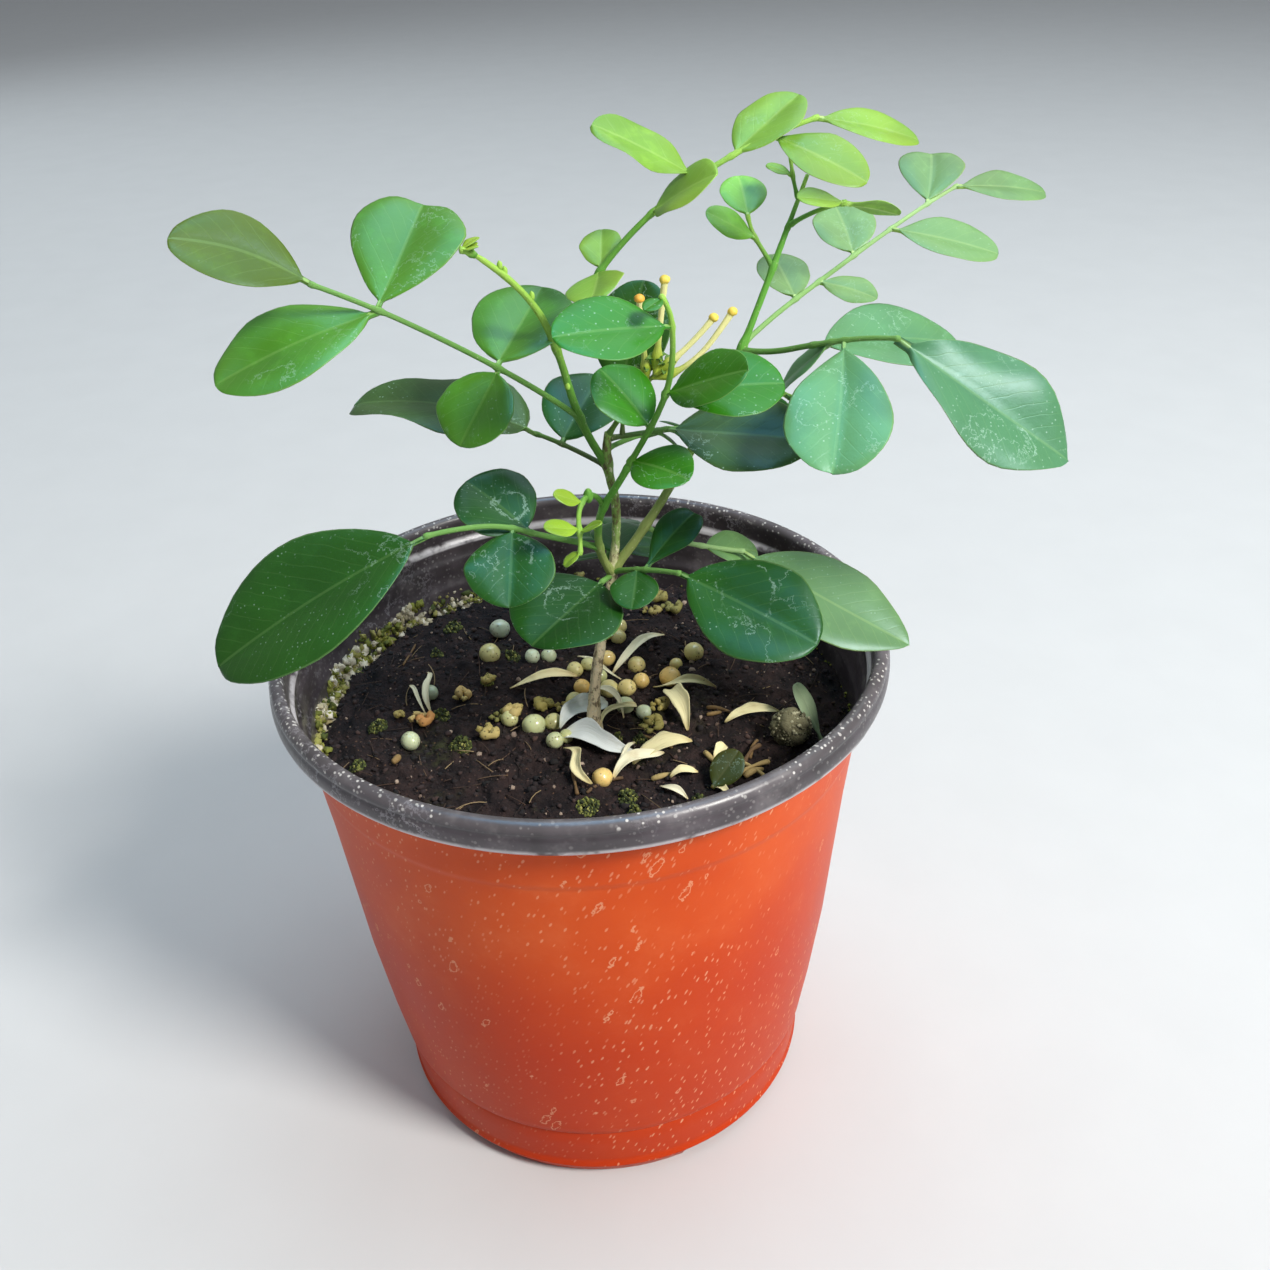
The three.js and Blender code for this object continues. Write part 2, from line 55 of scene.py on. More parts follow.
NOTCH_DEPTH = 4.0
SOIL_TOP = 80.0
SOIL_EDGE_DROP = 3.5
GAP = 0.3
TRUNK_FOOT = np.array([1.8, -10.8, SOIL_TOP + GAP])
TRUNK_LENGTH = 54.5
LOW_NODE = 31.0
UPPER_NODE = 49.5
PETIOLULE_SHARE = 0.07
MM = 0.001

# The photograph's camera
PHOTO_SIZE = 1270.0
FOCAL_PIXELS = 1300.0
CAMERA_PLACE = np.array([9.42, -188.99, 211.89])
CAMERA_PITCH = math.radians(32.234)
CAMERA_ROLL = math.radians(-2.342)


# Directions, courses and seeded variation

def direction(heading, rise):
    """The unit vector at a heading about the vertical and a rise above the level, in degrees."""
    h, r = math.radians(heading), math.radians(rise)
    return np.array([math.cos(r) * math.cos(h), math.cos(r) * math.sin(h), math.sin(r)])


def polar(radius, angle, height):
    """The point at a radius and an angle in radians about the pot's axis."""
    return radius * math.cos(angle), radius * math.sin(angle), height


def unit(vector):
    return vector / np.linalg.norm(vector)


def blend(values, share):
    """One value, or the value a share of the way along a list of them."""
    if not isinstance(values, (list, tuple)):
        return values
    return float(np.interp(share * (len(values) - 1), range(len(values)), values))


def seeded(seed):
    """The solids' own draw between 0 and 1."""
    value = math.sin(seed * 12.9898) * 43758.5453
    return value - math.floor(value)


class Course:
    """A limb's centre line, grown from a point in a direction that turns along it."""

    STEP = 0.7

    def __init__(self, start, heading, rise, length):
        self.heading, self.rise, self.length = heading, rise, length
        self.steps = max(6, round(length / self.STEP))
        shares = (np.arange(self.steps) + 0.5) / self.steps
        moves = [direction(blend(heading, s), blend(rise, s)) for s in shares]
        self.points = np.vstack([start, start + np.cumsum(moves, 0) * length / self.steps])
        self.level = direction(heading[0] + 90 if isinstance(heading, list) else heading + 90, 0)

    def point(self, distance):
        place = np.clip(distance / self.length, 0, 1) * self.steps
        index = min(int(place), self.steps - 1)
        return self.points[index] + (place - index) * (self.points[index + 1] - self.points[index])

    def axes(self, distance):
        share = np.clip(distance / self.length, 0, 1)
        along = direction(blend(self.heading, share), blend(self.rise, share))
        right = unit(self.level - along * (self.level @ along))
        return along, right, np.cross(right, along)


# Meshes: what is joined into one piece is gathered first

class Gathered:
    """The vertices and faces of one joined piece, with the data that its finish reads."""

    def __init__(self):
        self.points, self.faces, self.materials = [], [], []
        self.data = {"place": [], "mark": [], "seed": []}
        self.count = 0

    def add(self, points, faces, material=0, place=None, mark=(0, 0, 0), seed=0.0):
        points = np.asarray(points, float)
        self.points.append(points)
        self.faces += [tuple(int(v) + self.count for v in face) for face in faces]
        if np.ndim(material):
            self.materials += list(material)
        else:
            self.materials += [material] * len(faces)
        self.data["place"].append(np.zeros((len(points), 3)) if place is None else place)
        self.data["mark"].append(np.tile(mark, (len(points), 1)).astype(float))
        self.data["seed"].append(np.full(len(points), seed, float))
        self.count += len(points)

    def piece(self, name, materials, slot, replaces=()):
        mesh = bpy.data.meshes.new(name)
        mesh.from_pydata((np.vstack(self.points) * MM).tolist(), [], self.faces)
        for finish in materials:
            mesh.materials.append(finish)
        mesh.polygons.foreach_set("material_index", self.materials)
        mesh.polygons.foreach_set("use_smooth", [True] * len(self.faces))
        for key, kind in (("place", "FLOAT_VECTOR"), ("mark", "FLOAT_VECTOR"), ("seed", "FLOAT")):
            values = np.concatenate(self.data[key]).astype(np.float32)
            field = "value" if kind == "FLOAT" else "vector"
            mesh.attributes.new(key, kind, "POINT").data.foreach_set(field, values.ravel())
        mesh.update()
        made = bpy.data.objects.new(name, mesh)
        bpy.context.scene.collection.objects.link(made)
        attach(made, "root")
        if replaces:
            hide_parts(*replaces)
        return made


def ring_faces(rings, sides, first=0):
    """Quads between rings that follow each other, facing outward for a ring that turns
    clockwise about the way the rings advance."""
    faces = []
    for i in range(rings - 1):
        for j in range(sides):
            a, b = first + i * sides + j, first + i * sides + (j + 1) % sides
            faces.append((a, a + sides, b + sides, b))
    return faces


def add_tube(bag, course, radius_at, sides=10, step=0.8, material=0, seed=0.0, relief=None):
    """A closed tube along a course; relief adds to the radius at (angle, distance)."""
    rings = max(4, int(course.length / step))
    distances = np.linspace(0, course.length, rings)
    angles = np.arange(sides) * 2 * math.pi / sides
    points, places = [], []
    for distance in distances:
        _, right, front = course.axes(distance)
        centre = course.point(distance)
        for angle in angles:
            radius = radius_at(distance) + (relief(angle, distance) if relief else 0)
            points.append(centre + radius * (math.cos(angle) * right + math.sin(angle) * front))
            places.append((angle, distance, distance / course.length))
    faces = ring_faces(rings, sides)
    along_first, _, _ = course.axes(0)
    along_last, _, _ = course.axes(course.length)
    points.append(course.point(0) - along_first * radius_at(0) * 0.4)
    points.append(course.point(course.length) + along_last * radius_at(course.length) * 0.5)
    places += [(0, 0, 0), (0, course.length, 1)]
    start, end, last = rings * sides, rings * sides + 1, (rings - 1) * sides
    for j in range(sides):
        k = (j + 1) % sides
        faces.append((start, j, k))
        faces.append((end, last + k, last + j))
    bag.add(points, faces, material, np.array(places), seed=seed)


def ball_template(level):
    """Unit sphere as points and triangles."""
    bpy.ops.mesh.primitive_ico_sphere_add(subdivisions=level, radius=1)
    made = bpy.context.object
    points = np.array([v.co for v in made.data.vertices])
    faces = [tuple(p.vertices) for p in made.data.polygons]
    mesh = made.data
    bpy.data.objects.remove(made)
    bpy.data.meshes.remove(mesh)
    return points, faces


BALLS = {level: ball_template(level) for level in (1, 2, 3, 4)}


def add_lump(bag, centre, radii, level=2, rough=0.2, grain=1.5, seed=0.0, material=0, turn=0.0,
             within=None):
    """A rounded lump: a ball of three radii with seeded relief, turned about the vertical;
    within is a radius about the pot's axis that it is pressed flat against."""
    points, faces = BALLS[level]
    offset = Vector((seed * 37.0, seed * 11.0, 5.0))
    swell = np.array([1 + rough * noise.noise(Vector(p) * grain + offset) for p in points])
    shaped = points * swell[:, None] * np.array(radii)
    c, s = math.cos(turn), math.sin(turn)
    turned = shaped @ np.array([[c, s, 0], [-s, c, 0], [0, 0, 1]])
    placed = turned + centre
    if within:
        reach = np.hypot(placed[:, 0], placed[:, 1])
        placed[:, :2] *= np.minimum(1, within / reach)[:, None]
    bag.add(placed, faces, material, points * np.array(radii), seed=seed)


# Finishes: every material is a small procedural graph

def linear(colour):
    """The base colour for an 0xRRGGBB value."""
    parts = [((colour >> shift) & 255) / 255 for shift in (16, 8, 0)]
    return tuple(c / 12.92 if c <= 0.04045 else ((c + 0.055) / 1.055) ** 2.4 for c in parts) + (1.0,)


def tinted(colour, red, green=None, blue=None):
    """The colour with its parts scaled, all alike where only one factor is given."""
    factors = (red, green if green else red, blue if blue else red)
    return tuple(min(part * factor, 1) for part, factor in zip(linear(colour), factors)) + (1.0,)


class Signal:
    """A number that a node gives. Its sums, products and the like are further nodes."""

    def __init__(self, finish, socket):
        self.finish, self.socket = finish, socket

    def __add__(self, other):
        return self.finish.math("ADD", self, other)

    def __sub__(self, other):
        return self.finish.math("SUBTRACT", self, other)

    def __mul__(self, other):
        return self.finish.math("MULTIPLY", self, other)

    def __truediv__(self, other):
        return self.finish.math("DIVIDE", self, other)

    def __abs__(self):
        return self.finish.math("ABSOLUTE", self)


class Finish:
    """Builds one material's nodes around its surface shader."""

    def __init__(self, name, roughness=0.5, **sockets):
        self.material = bpy.data.materials.new(name)
        self.material.use_nodes = True
        self.tree = self.material.node_tree
        self.surface = self.tree.nodes["Principled BSDF"]
        self.surface.inputs["Roughness"].default_value = roughness
        for key, value in sockets.items():
            self.surface.inputs[key.replace("_", " ")].default_value = value
        self.spot = self.node("TexCoord").outputs["Object"]
        self.colour = None

    def node(self, kind, settings=(), **inputs):
        made = self.tree.nodes.new("ShaderNode" + kind)
        for key, value in dict(settings).items():
            setattr(made, key, value)
        for key, value in inputs.items():
            self.feed(made.inputs[key.replace("_", " ")], value)
        return made

    def feed(self, socket, value):
        """Links a node's output to the socket, or sets the socket to a plain value."""
        if isinstance(value, Signal):
            value = value.socket
        if isinstance(value, bpy.types.NodeSocket):
            self.tree.links.new(value, socket)
        elif value is not None:
            socket.default_value = value

    def math(self, operation, *values, clamp=False):
        made = self.tree.nodes.new("ShaderNodeMath")
        made.operation, made.use_clamp = operation, clamp
        for socket, value in zip(made.inputs, values):
            self.feed(socket, value)
        return Signal(self, made.outputs[0])

    def most(self, first, *others):
        """The greatest of several numbers, at most 1."""
        for other in others:
            first = self.math("MAXIMUM", first, other, clamp=True)
        return first

    def step(self, value, low, high, start=0.0, end=1.0):
        """Rises smoothly from start to end while value goes from low to high."""
        made = self.node("MapRange", {"interpolation_type": "SMOOTHSTEP"})
        for socket, number in zip(made.inputs, (value, low, high, start, end)):
            self.feed(socket, number)
        return Signal(self, made.outputs[0])

    def mix(self, share, a, b):
        """The colour a share of the way from a to b, each a colour, 0xRRGGBB or a node's output."""
        made = self.node("Mix", {"data_type": "RGBA"})
        self.feed(made.inputs["Factor"], share)
        for socket, colour in zip(made.inputs[6:8], (a, b)):
            self.feed(socket, linear(colour) if isinstance(colour, int) else colour)
        return made.outputs[2]

    def paint(self, share, colour):
        """Lays a colour over the surface's colour by a share."""
        self.colour = self.mix(share, self.colour, colour)

    def noise(self, scale, detail=3.0, roughness=0.55, place=None):
        made = self.node("TexNoise", Vector=place or self.spot, Scale=scale, Detail=detail,
                         Roughness=roughness)
        return Signal(self, made.outputs["Fac"])

    def cells(self, scale, place=None):
        """The distance to the nearest of scattered points, and two numbers that this point draws."""
        made = self.node("TexVoronoi", Vector=place or self.spot, Scale=scale)
        drawn = self.node("SeparateColor", Color=made.outputs["Color"]).outputs
        return Signal(self, made.outputs["Distance"]), Signal(self, drawn[0]), Signal(self, drawn[1])

    def attribute(self, name):
        return Signal(self, self.node("Attribute", {"attribute_name": name}).outputs["Fac"])

    def attribute_parts(self, name):
        return self.parts(self.node("Attribute", {"attribute_name": name}).outputs["Vector"])

    def parts(self, vector):
        return [Signal(self, part) for part in self.node("SeparateXYZ", Vector=vector).outputs]

    def joined(self, x, y, z):
        return self.node("CombineXYZ", X=x, Y=y, Z=z).outputs[0]

    def stretched(self, scale, place=None):
        return self.node("Mapping", Vector=place or self.spot, Scale=scale).outputs[0]

    def relief(self, height, strength=0.3, distance=0.0005):
        made = self.node("Bump", Height=height, Strength=strength, Distance=distance)
        self.feed(self.surface.inputs["Normal"], made.outputs[0])

    def done(self, roughness=None):
        self.feed(self.surface.inputs["Base Color"], self.colour)
        if roughness is not None:
            self.feed(self.surface.inputs["Roughness"], roughness)
        return self.material


def leaf_colours(f, colour, warm):
    """The blade's mottled green with sunny yellow patches, yellower or darker by the leaflet's own seed; the
    darker end is partly the leaflet's own tone and partly painted shade.
    """
    seed = f.attribute("seed")
    mottle, cloud = f.noise(320.0, 5.0, 0.62), f.noise(62.0, 2.0)
    f.colour = f.mix(f.step(cloud, 0.36, 0.64), tinted(colour, 0.8), tinted(colour, 1.14))
    sunny = f.step(f.noise(36.0, 2.0), 0.44, 0.66) * warm
    f.paint(sunny, tinted(colour, 1.5, 1.0, 0.5))
    f.paint(f.step(mottle, 0.5, 0.72) * 0.4, tinted(colour, 1.45, 1.35, 1.35))
    f.paint(f.step(seed, 0.45, 0.0, 0.0, 0.75), tinted(colour, 1.5, 0.8, 0.3))
    # Painted shade: leaflets with a high tone are darkened towards a cool blue-grey, partly their own darker
    # tone and partly the shade they stand in
    f.paint(f.step(seed, 0.5, 1.0, 0.0, 0.6), tinted(colour, 0.55, 0.58, 0.75))
    return mottle, cloud


def leaf_veins(f, across, along, edge):
    """Where the side veins run, slanting forward from the midrib, and where the midrib does."""
    off = abs(across)
    lane = (along - off * 1.15) / 2.6
    lane = lane + f.noise(220.0, 2.0) * 0.6 + 20.0
    near = abs(f.math("FRACT", lane) - 0.5)
    side = f.step(near, 0.42, 0.5) * f.step(edge, 1.0, 0.7) * f.step(edge, 0.02, 0.14)
    rib = f.step(off, 0.32, 0.12) * f.step(edge, 0.075, 0.02)
    return side, rib


def leaf_chalk(f, across, along, dust, cloud):
    """Dust in specks and threads, and the rim of a dried drop of water at the leaflet's mark."""
    specks, drawn, _ = f.cells(1450.0)
    sprinkle = f.step(specks, 0.24, 0.1) * f.step(drawn, 0.45, 0.6) * f.step(cloud, 0.42, 0.6)
    thread = abs(f.noise(120.0, 6.0, 0.62) - 0.5)
    thread = f.step(thread, 0.008, 0.001) * f.step(f.noise(58.0), 0.5, 0.6)
    mark_x, mark_y, mark_radius = f.attribute_parts("mark")
    dx, dy = across - mark_x, along - mark_y
    wobble = (f.noise(150.0, 8.0, 0.75) - 0.5) * 7.0
    rim = abs(f.math("SQRT", dx * dx + dy * dy) + wobble - mark_radius)
    ring = f.step(rim, 0.24, 0.05) * f.step(mark_radius, 0.2, 0.6)
    ring = ring * f.step(f.noise(170.0, 4.0, 0.7), 0.42, 0.56)
    return f.most(sprinkle * dust * 1.3, ring * 0.32, thread * dust)


def leaf_finish(name, colour, vein, dust=0.3, sheen=0.3, warm=0.3):
    """Glossy blade: mottled green, faint side veins and a pale midrib, dust and water marks."""
    f = Finish(name, Specular_IOR_Level=0.32, Specular_Tint=(0.55, 0.85, 1.0, 1), Coat_Weight=sheen,
               Coat_Roughness=0.3)
    across, along, edge = f.attribute_parts("place")
    mottle, cloud = leaf_colours(f, colour, warm)
    side, rib = leaf_veins(f, across, along, edge)
    chalk = leaf_chalk(f, across, along, dust, cloud)
    for share in (side * 0.05, rib * 0.62, f.step(edge, 0.96, 0.995) * 0.35):
        f.paint(share, vein)
    f.paint(chalk, 0xBFE0D0)
    fine = f.noise(1500.0, 2.0)
    f.relief(fine * 0.25 + mottle * 0.4 - side * 0.12 - rib * 0.4, 0.35, 0.0003)
    return f.done(mottle * 0.25 + chalk * 0.35 + 0.28)


def leaf_back_finish(name, colour, vein):
    """The paler, duller underside of a blade, its midrib standing out."""
    f = Finish(name, Specular_IOR_Level=0.3)
    across, _, edge = f.attribute_parts("place")
    rib = f.step(abs(across), 0.45, 0.15) * f.step(edge, 0.12, 0.04)
    grain = f.noise(700.0, 3.0)
    f.colour = f.mix(f.step(grain, 0.35, 0.7), tinted(colour, 0.85), tinted(colour, 1.15))
    f.paint(rib * 0.6, vein)
    f.relief(grain * 0.4 + rib * 0.5, 0.3, 0.0003)
    return f.done(grain * 0.2 + 0.5)


def stem_finish(name, low, high, bark=0.4, start=0.0, end=0.6):
    """Green or barky stem: the colour turns from low to high along it, with lengthwise streaks,
    specks and pits, and scabs where the bark is rough."""
    f = Finish(name, Specular_IOR_Level=0.35)
    angle, distance, share = f.attribute_parts("place")
    seed = f.attribute("seed")
    streak_place = f.joined(f.math("SINE", angle), f.math("COSINE", angle), distance * 0.22)
    streak = f.noise(3.2, 5.0, 0.65, streak_place)
    patch = f.noise(240.0, 3.0)
    turn = share - seed + (patch - 0.5) * 0.4
    f.colour = f.mix(f.step(turn, start, end), low, high)
    f.paint(f.step(streak, 0.54, 0.74) * bark, tinted(low, 0.35))
    f.paint(f.step(streak, 0.45, 0.28) * bark * 0.8, tinted(high, 1.35, 1.25, 1.4))
    specks = f.cells(1100.0)[0]
    f.paint(f.step(specks, 0.2, 0.08) * bark * 0.8, 0xCFC7A8)
    pits = f.cells(760.0, f.stretched((1.0, 1.0, 0.45)))[0]
    dark = f.step(pits, 0.34, 0.16) * f.step(f.noise(420.0, 3.0), 0.46, 0.58)
    f.paint(dark * max(0.0, bark - 0.3) * 1.6, 0x4A3A28)
    scab = f.noise(1100.0, 5.0, 0.7, f.stretched((1.0, 1.0, 0.6)))
    rough = max(0.0, bark - 0.45) * 2
    f.paint(f.step(scab, 0.5, 0.4) * rough, 0x5E4A32)
    f.paint(f.step(scab, 0.58, 0.66) * rough, 0xF0E6CC)
    f.relief(streak + patch * 0.5, 0.5, 0.0004)
    return f.done(patch * 0.25 + 0.42)


def charcoal_finish():
    """The pot's rim and inside: dark plastic with chalky specks, scuffs and faint rings, a painted highlight
    on the lip's top and a pale painted highlight line along the band's lower edge.
    """
    f = Finish("charcoal_plastic", Specular_IOR_Level=0.55)
    height = f.parts(f.spot)[2]
    cloud = f.noise(60.0, 4.0)
    f.colour = f.mix(f.step(cloud, 0.3, 0.7), 0x302B2E, 0x544C52)
    lip = f.step(height, 0.0934, 0.0943)
    fine = f.cells(1050.0)[0]
    small = f.cells(640.0)[0]
    big, drawn, _ = f.cells(300.0)
    chosen = f.step(drawn, 0.72, 0.76)
    amount = f.step(f.noise(80.0, 2.0), 0.36, 0.54)
    dust = f.step(fine, 0.3, 0.15) * amount * (lip + 0.15)
    specks = f.step(small, 0.22, 0.12) * (amount * 0.6 + 0.1) * (lip * 0.7 + 0.3)
    spots = f.step(big, 0.14, 0.07) * chosen * (lip * 0.85 + 0.15)
    chalk = f.most(specks, spots, dust)
    # A pale line along the band's lower edge: partly scuffing, partly a painted highlight standing for the
    # gloss there
    worn = f.step(height, 0.089, 0.0894) * f.step(height, 0.0909, 0.0901)
    worn = worn * f.step(f.noise(240.0, 3.0), 0.3, 0.5)
    scuff = abs(f.noise(170.0, 5.0, 0.65) - 0.5)
    scuff = f.step(scuff, 0.02, 0.004) * f.step(f.noise(40.0), 0.48, 0.6)
    f.paint(scuff * 0.35, 0xB4B0B8)
    f.paint(worn * 0.85, 0xCDC8CC)
    # Grey patches here and there, and a painted highlight: the lip's top is made lighter grey to stand for
    # the reflection it shows
    grey_and_lip_highlight = f.step(f.noise(130.0, 4.0, 0.7), 0.5, 0.72) * 0.3 + lip * 0.22
    f.paint(grey_and_lip_highlight, 0x8A8486)
    f.paint(chalk * 0.8, 0xD6D2CE)
    f.relief(f.noise(900.0, 2.0) + chalk * 0.8, 0.14, 0.0002)
    return f.done(cloud * 0.25 + chalk * 0.4 + 0.2)


def terracotta_finish():
    """The pot's outside: orange-red plastic with dried water drops, drips and scratches, and painted shade
    that darkens it towards the bottom.
    """
    f = Finish("terracotta_plastic", Specular_IOR_Level=0.14)
    cloud = f.noise(30.0, 3.0)
    f.colour = f.mix(f.step(cloud, 0.3, 0.7), 0xC8440E, 0xD8571C)
    height = f.parts(f.spot)[2]
    # Painted shade: the body is darkened towards the bottom
    f.paint(f.step(height, 0.085, 0.03, 0.0, 0.75), 0xB42C04)
    turned = f.node("Mapping", Vector=f.spot, Rotation=(0.0, -0.45, 0.0)).outputs[0]
    slanted = f.stretched((1.0, 1.0, 0.34), turned)
    wobble = (f.noise(900.0, 4.0) - 0.5) * 0.6
    drops, drawn, size = f.cells(430.0, slanted)
    rim = abs(drops + wobble - (size * 0.22 + 0.08))
    ring = f.step(rim, 0.06, 0.015) * f.step(drawn, 0.82, 0.88)
    side = f.step(f.noise(24.0, 2.0), 0.4, 0.6) * f.step(f.parts(f.spot)[0], -0.01, 0.03, 0.6, 1.0)
    flecks, drawn, _ = f.cells(1250.0, slanted)
    fleck = f.step(flecks + wobble * 0.6, 0.3, 0.14) * f.step(drawn, 0.34, 0.44) * (side * 0.8 + 0.2)
    streak_place = f.stretched((260.0, 260.0, 18.0), turned)
    scratch = f.step(f.noise(3.0, 4.0, 0.7, streak_place), 0.7, 0.78)
    chalk = f.most(ring * 0.42, fleck * 0.5, scratch * 0.2)
    f.paint(chalk, 0xF0C49C)
    haze = f.step(f.noise(60.0, 5.0, 0.7), 0.5, 0.75) * f.step(height, 0.02, 0.09, 0.06, 0.2)
    f.paint(haze, 0xE27A4E)
    f.relief(f.noise(1200.0, 2.0) + chalk, 0.08, 0.0002)
    return f.done(cloud * 0.15 + chalk * 0.35 + 0.34)


def soil_finish():
    """Moist potting mix: near-black crumbs with a few tan fibres and green flecks."""
    f = Finish("soil", Specular_IOR_Level=0.25)
    coarse = f.noise(260.0, 6.0, 0.7)
    f.colour = f.mix(f.step(coarse, 0.35, 0.72), 0x171112, 0x362826)
    grit, drawn, _ = f.cells(1300.0)
    lit = f.step(grit, 0.3, 0.12) * f.step(drawn, 0.86, 0.9)
    f.paint(lit * 0.55, 0x7A5B45)
    green = f.step(f.noise(70.0, 3.0), 0.58, 0.72) * f.step(coarse, 0.4, 0.6)
    f.paint(green * 0.45, 0x39451C)
    f.relief(coarse + f.noise(1600.0, 4.0) * 0.5, 0.9, 0.0009)
    return f.done(0.92)


def tinted_finish(name, stops, roughness, grain=500.0, depth=0.3, speck=None, **sockets):
    """Colour runs through stops by each lump's own seed, broken up by grain and specks."""
    f = Finish(name, roughness, **sockets)
    ramp = f.node("ValToRGB", Fac=f.attribute("seed"))
    places = ramp.color_ramp.elements
    while len(places) < len(stops):
        places.new(0.5)
    for element, (place, colour) in zip(places, stops):
        element.position, element.color = place, linear(colour)
    patch = f.noise(grain, 4.0, 0.6)
    f.colour = ramp.outputs[0]
    f.paint(f.step(patch, 0.55, 0.75) * 0.5, f.mix(0.55, f.colour, 0x1C140C))
    if speck:
        f.paint(f.step(f.cells(grain * 2.4)[0], 0.27, 0.1) * 0.7, speck)
    f.relief(patch, depth, 0.0004)
    return f.done()


def petal_finish(name, colour, old):
    """Wilting petal: fine lengthwise lines, browner towards its ends."""
    f = Finish(name, 0.6, Specular_IOR_Level=0.3)
    across, along, share = f.attribute_parts("place")
    line = f.noise(2.0, place=f.joined(across * 2.2, along * 0.12, f.attribute("seed")))
    ends = f.step(abs(share - 0.5), 0.3, 0.52, 0.0, 0.7)
    worn = ends + f.step(f.noise(300.0), 0.55, 0.8, 0.0, 0.4)
    f.colour = f.mix(worn, colour, old)
    f.paint(f.step(line, 0.5, 0.7) * 0.25, old)
    f.relief(line, 0.4, 0.0003)
    return f.done()


# Pot: a moulded shell with a rolled rim, drainage notches in its foot and fine rings

def wall_radius(height):
    """Inner face of the wall at a height."""
    low, high = LOWER_RADIUS - WALL, SHOULDER_RADIUS - WALL
    return float(np.interp(height, [FLOOR, LOWER_HEIGHT, 87.0], [low - 1.0, low, high]))


def pot_outline(cut):
    """(radius, height, charcoal) from the underside's centre round to the inside's floor."""
    foot = cut * NOTCH_HEIGHT
    outside = [
        (14, 0), (BASE_RADIUS - NOTCH_DEPTH - 0.1, 0), (BASE_RADIUS - NOTCH_DEPTH + 0.1, foot),
        (BASE_RADIUS - 0.4, foot), (BASE_RADIUS + 0.05 + 0.48 * foot, foot + 0.25), (39.1, 2.4),
        (39.4, 2.75), (39.45, 3.15), (39.15, 3.6), (39.25, 5.0), (39.65, 9.0), (39.95, 12.3), (39.9, 12.6),
        (39.88, 12.95), (39.98, 13.25), (40.25, 13.5), (40.45, 13.9), (40.65, 15.2), (42.0, 24.0),
        (43.9, 39.0), (45.15, 53.5), (46.35, 67.0), (47.6, 78.4), (47.72, 79.2), (47.95, 79.6),
        (48.05, 80.3), (48.55, 84.0), (49.25, 88.0), (49.5, 88.9),
    ]
    rim = [
        (50.0, 89.25), (50.6, 89.4), (51.5, 89.45), (51.95, 89.6), (52.25, 89.95), (52.42, 90.5),
        (52.48, 91.2), (52.44, 91.9), (52.28, 92.5), (52.12, 92.8), (52.1, 93.05), (52.22, 93.3),
        (52.24, 93.7), (52.1, 94.15), (51.8, 94.55), (51.4, 94.85), (50.95, 95.0), (50.5, 94.95),
        (50.1, 94.7), (49.85, 94.3), (49.7, 93.7), (49.6, 92.6), (49.5, 90.8), (49.42, 90.2), (49.1, 89.9),
        (48.85, 89.5), (48.75, 88.6), (48.62, 87.2), (48.35, 86.8), (48.15, 86.2), (47.9, 84.0),
        (47.6, 82.0), (47.4, 81.7), (47.3, 81.0), (47.2, 79.5), (46.2, 70.0), (42.7, 43.0),
        (wall_radius(LOWER_HEIGHT), LOWER_HEIGHT), (wall_radius(FLOOR), FLOOR), (14, FLOOR),
    ]
    return [(r, z, False) for r, z in outside] + [(r, z, True) for r, z in rim]


POT_COLUMNS = 220
# How far from a notch's middle its steep sides are halfway up
NOTCH_REACH = NOTCH_HALF_ANGLE - 0.2


def away_from_notch(angle):
    """Degrees between an angle and the middle of the nearest foot notch."""
    pitch = 360 / NOTCH_COUNT
    return abs((angle - FIRST_NOTCH + pitch / 2) % pitch - pitch / 2)


def pot_angles():
    """Even columns about the pot, and those at both ends of each notch's steep sides."""
    edges = []
    for k in range(NOTCH_COUNT):
        centre = FIRST_NOTCH + 360 * k / NOTCH_COUNT
        for reach in (NOTCH_HALF_ANGLE, NOTCH_HALF_ANGLE - NOTCH_SIDE_ANGLE):
            edges += [centre - reach, centre + reach]
    even = [360 * k / POT_COLUMNS for k in range(POT_COLUMNS)]
    return sorted({round(angle % 360, 3) for angle in edges + even})


def make_pot():
    bag = Gathered()
    angles = pot_angles()
    outlines = [pot_outline(away_from_notch(a) < NOTCH_REACH) for a in angles]
    count, rows = len(angles), len(outlines[0])
    points = []
    for angle, outline in zip(angles, outlines):
        points += [polar(radius, math.radians(angle), height) for radius, height, _ in outline]
    points += [(0, 0, 0), (0, 0, FLOOR)]
    faces, materials = [], []
    for i in range(count):
        k = (i + 1) % count
        faces.append((count * rows, k * rows, i * rows))
        faces.append((count * rows + 1, i * rows + rows - 1, k * rows + rows - 1))
        materials += [1, 0]
        for j in range(rows - 1):
            faces.append((i * rows + j, k * rows + j, k * rows + j + 1, i * rows + j + 1))
            materials.append(0 if outlines[0][j + 1][2] else 1)
    bag.add(points, faces, materials)
    bag.piece("pot_shell", [charcoal_finish(), terracotta_finish()], "pot_plastic", ["pot"])


# Soil: a rough dome with crumbs, fibres and all that lies on it

SOIL_REACH = wall_radius(SOIL_TOP - SOIL_EDGE_DROP) - 0.15
SOIL_SIDES = 300
SOIL_RINGS = 96
CRUMBS = 6400
FIBRES = 260


def soil_height(x, y):
    """The soil's surface: a dome with a mound at the trunk, rolling and rough."""
    r = math.hypot(x, y) / SOIL_REACH
    dome = float(np.interp(r, [0, 0.5, 0.85, 1], [0, 0, -0.3 * SOIL_EDGE_DROP, -SOIL_EDGE_DROP]))
    mound = 0.9 * math.exp(-((x - TRUNK_FOOT[0]) ** 2 + (y - TRUNK_FOOT[1]) ** 2) / 9)
    rolling = 0.9 * noise.fractal(Vector((x / 9, y / 9, 3.1)), 0.8, 2.1, 3)
    rough = 0.8 * noise.fractal(Vector((x / 2.2, y / 2.2, 8.7)), 0.55, 2.2, 5)
    return SOIL_TOP + dome + mound + rolling + rough


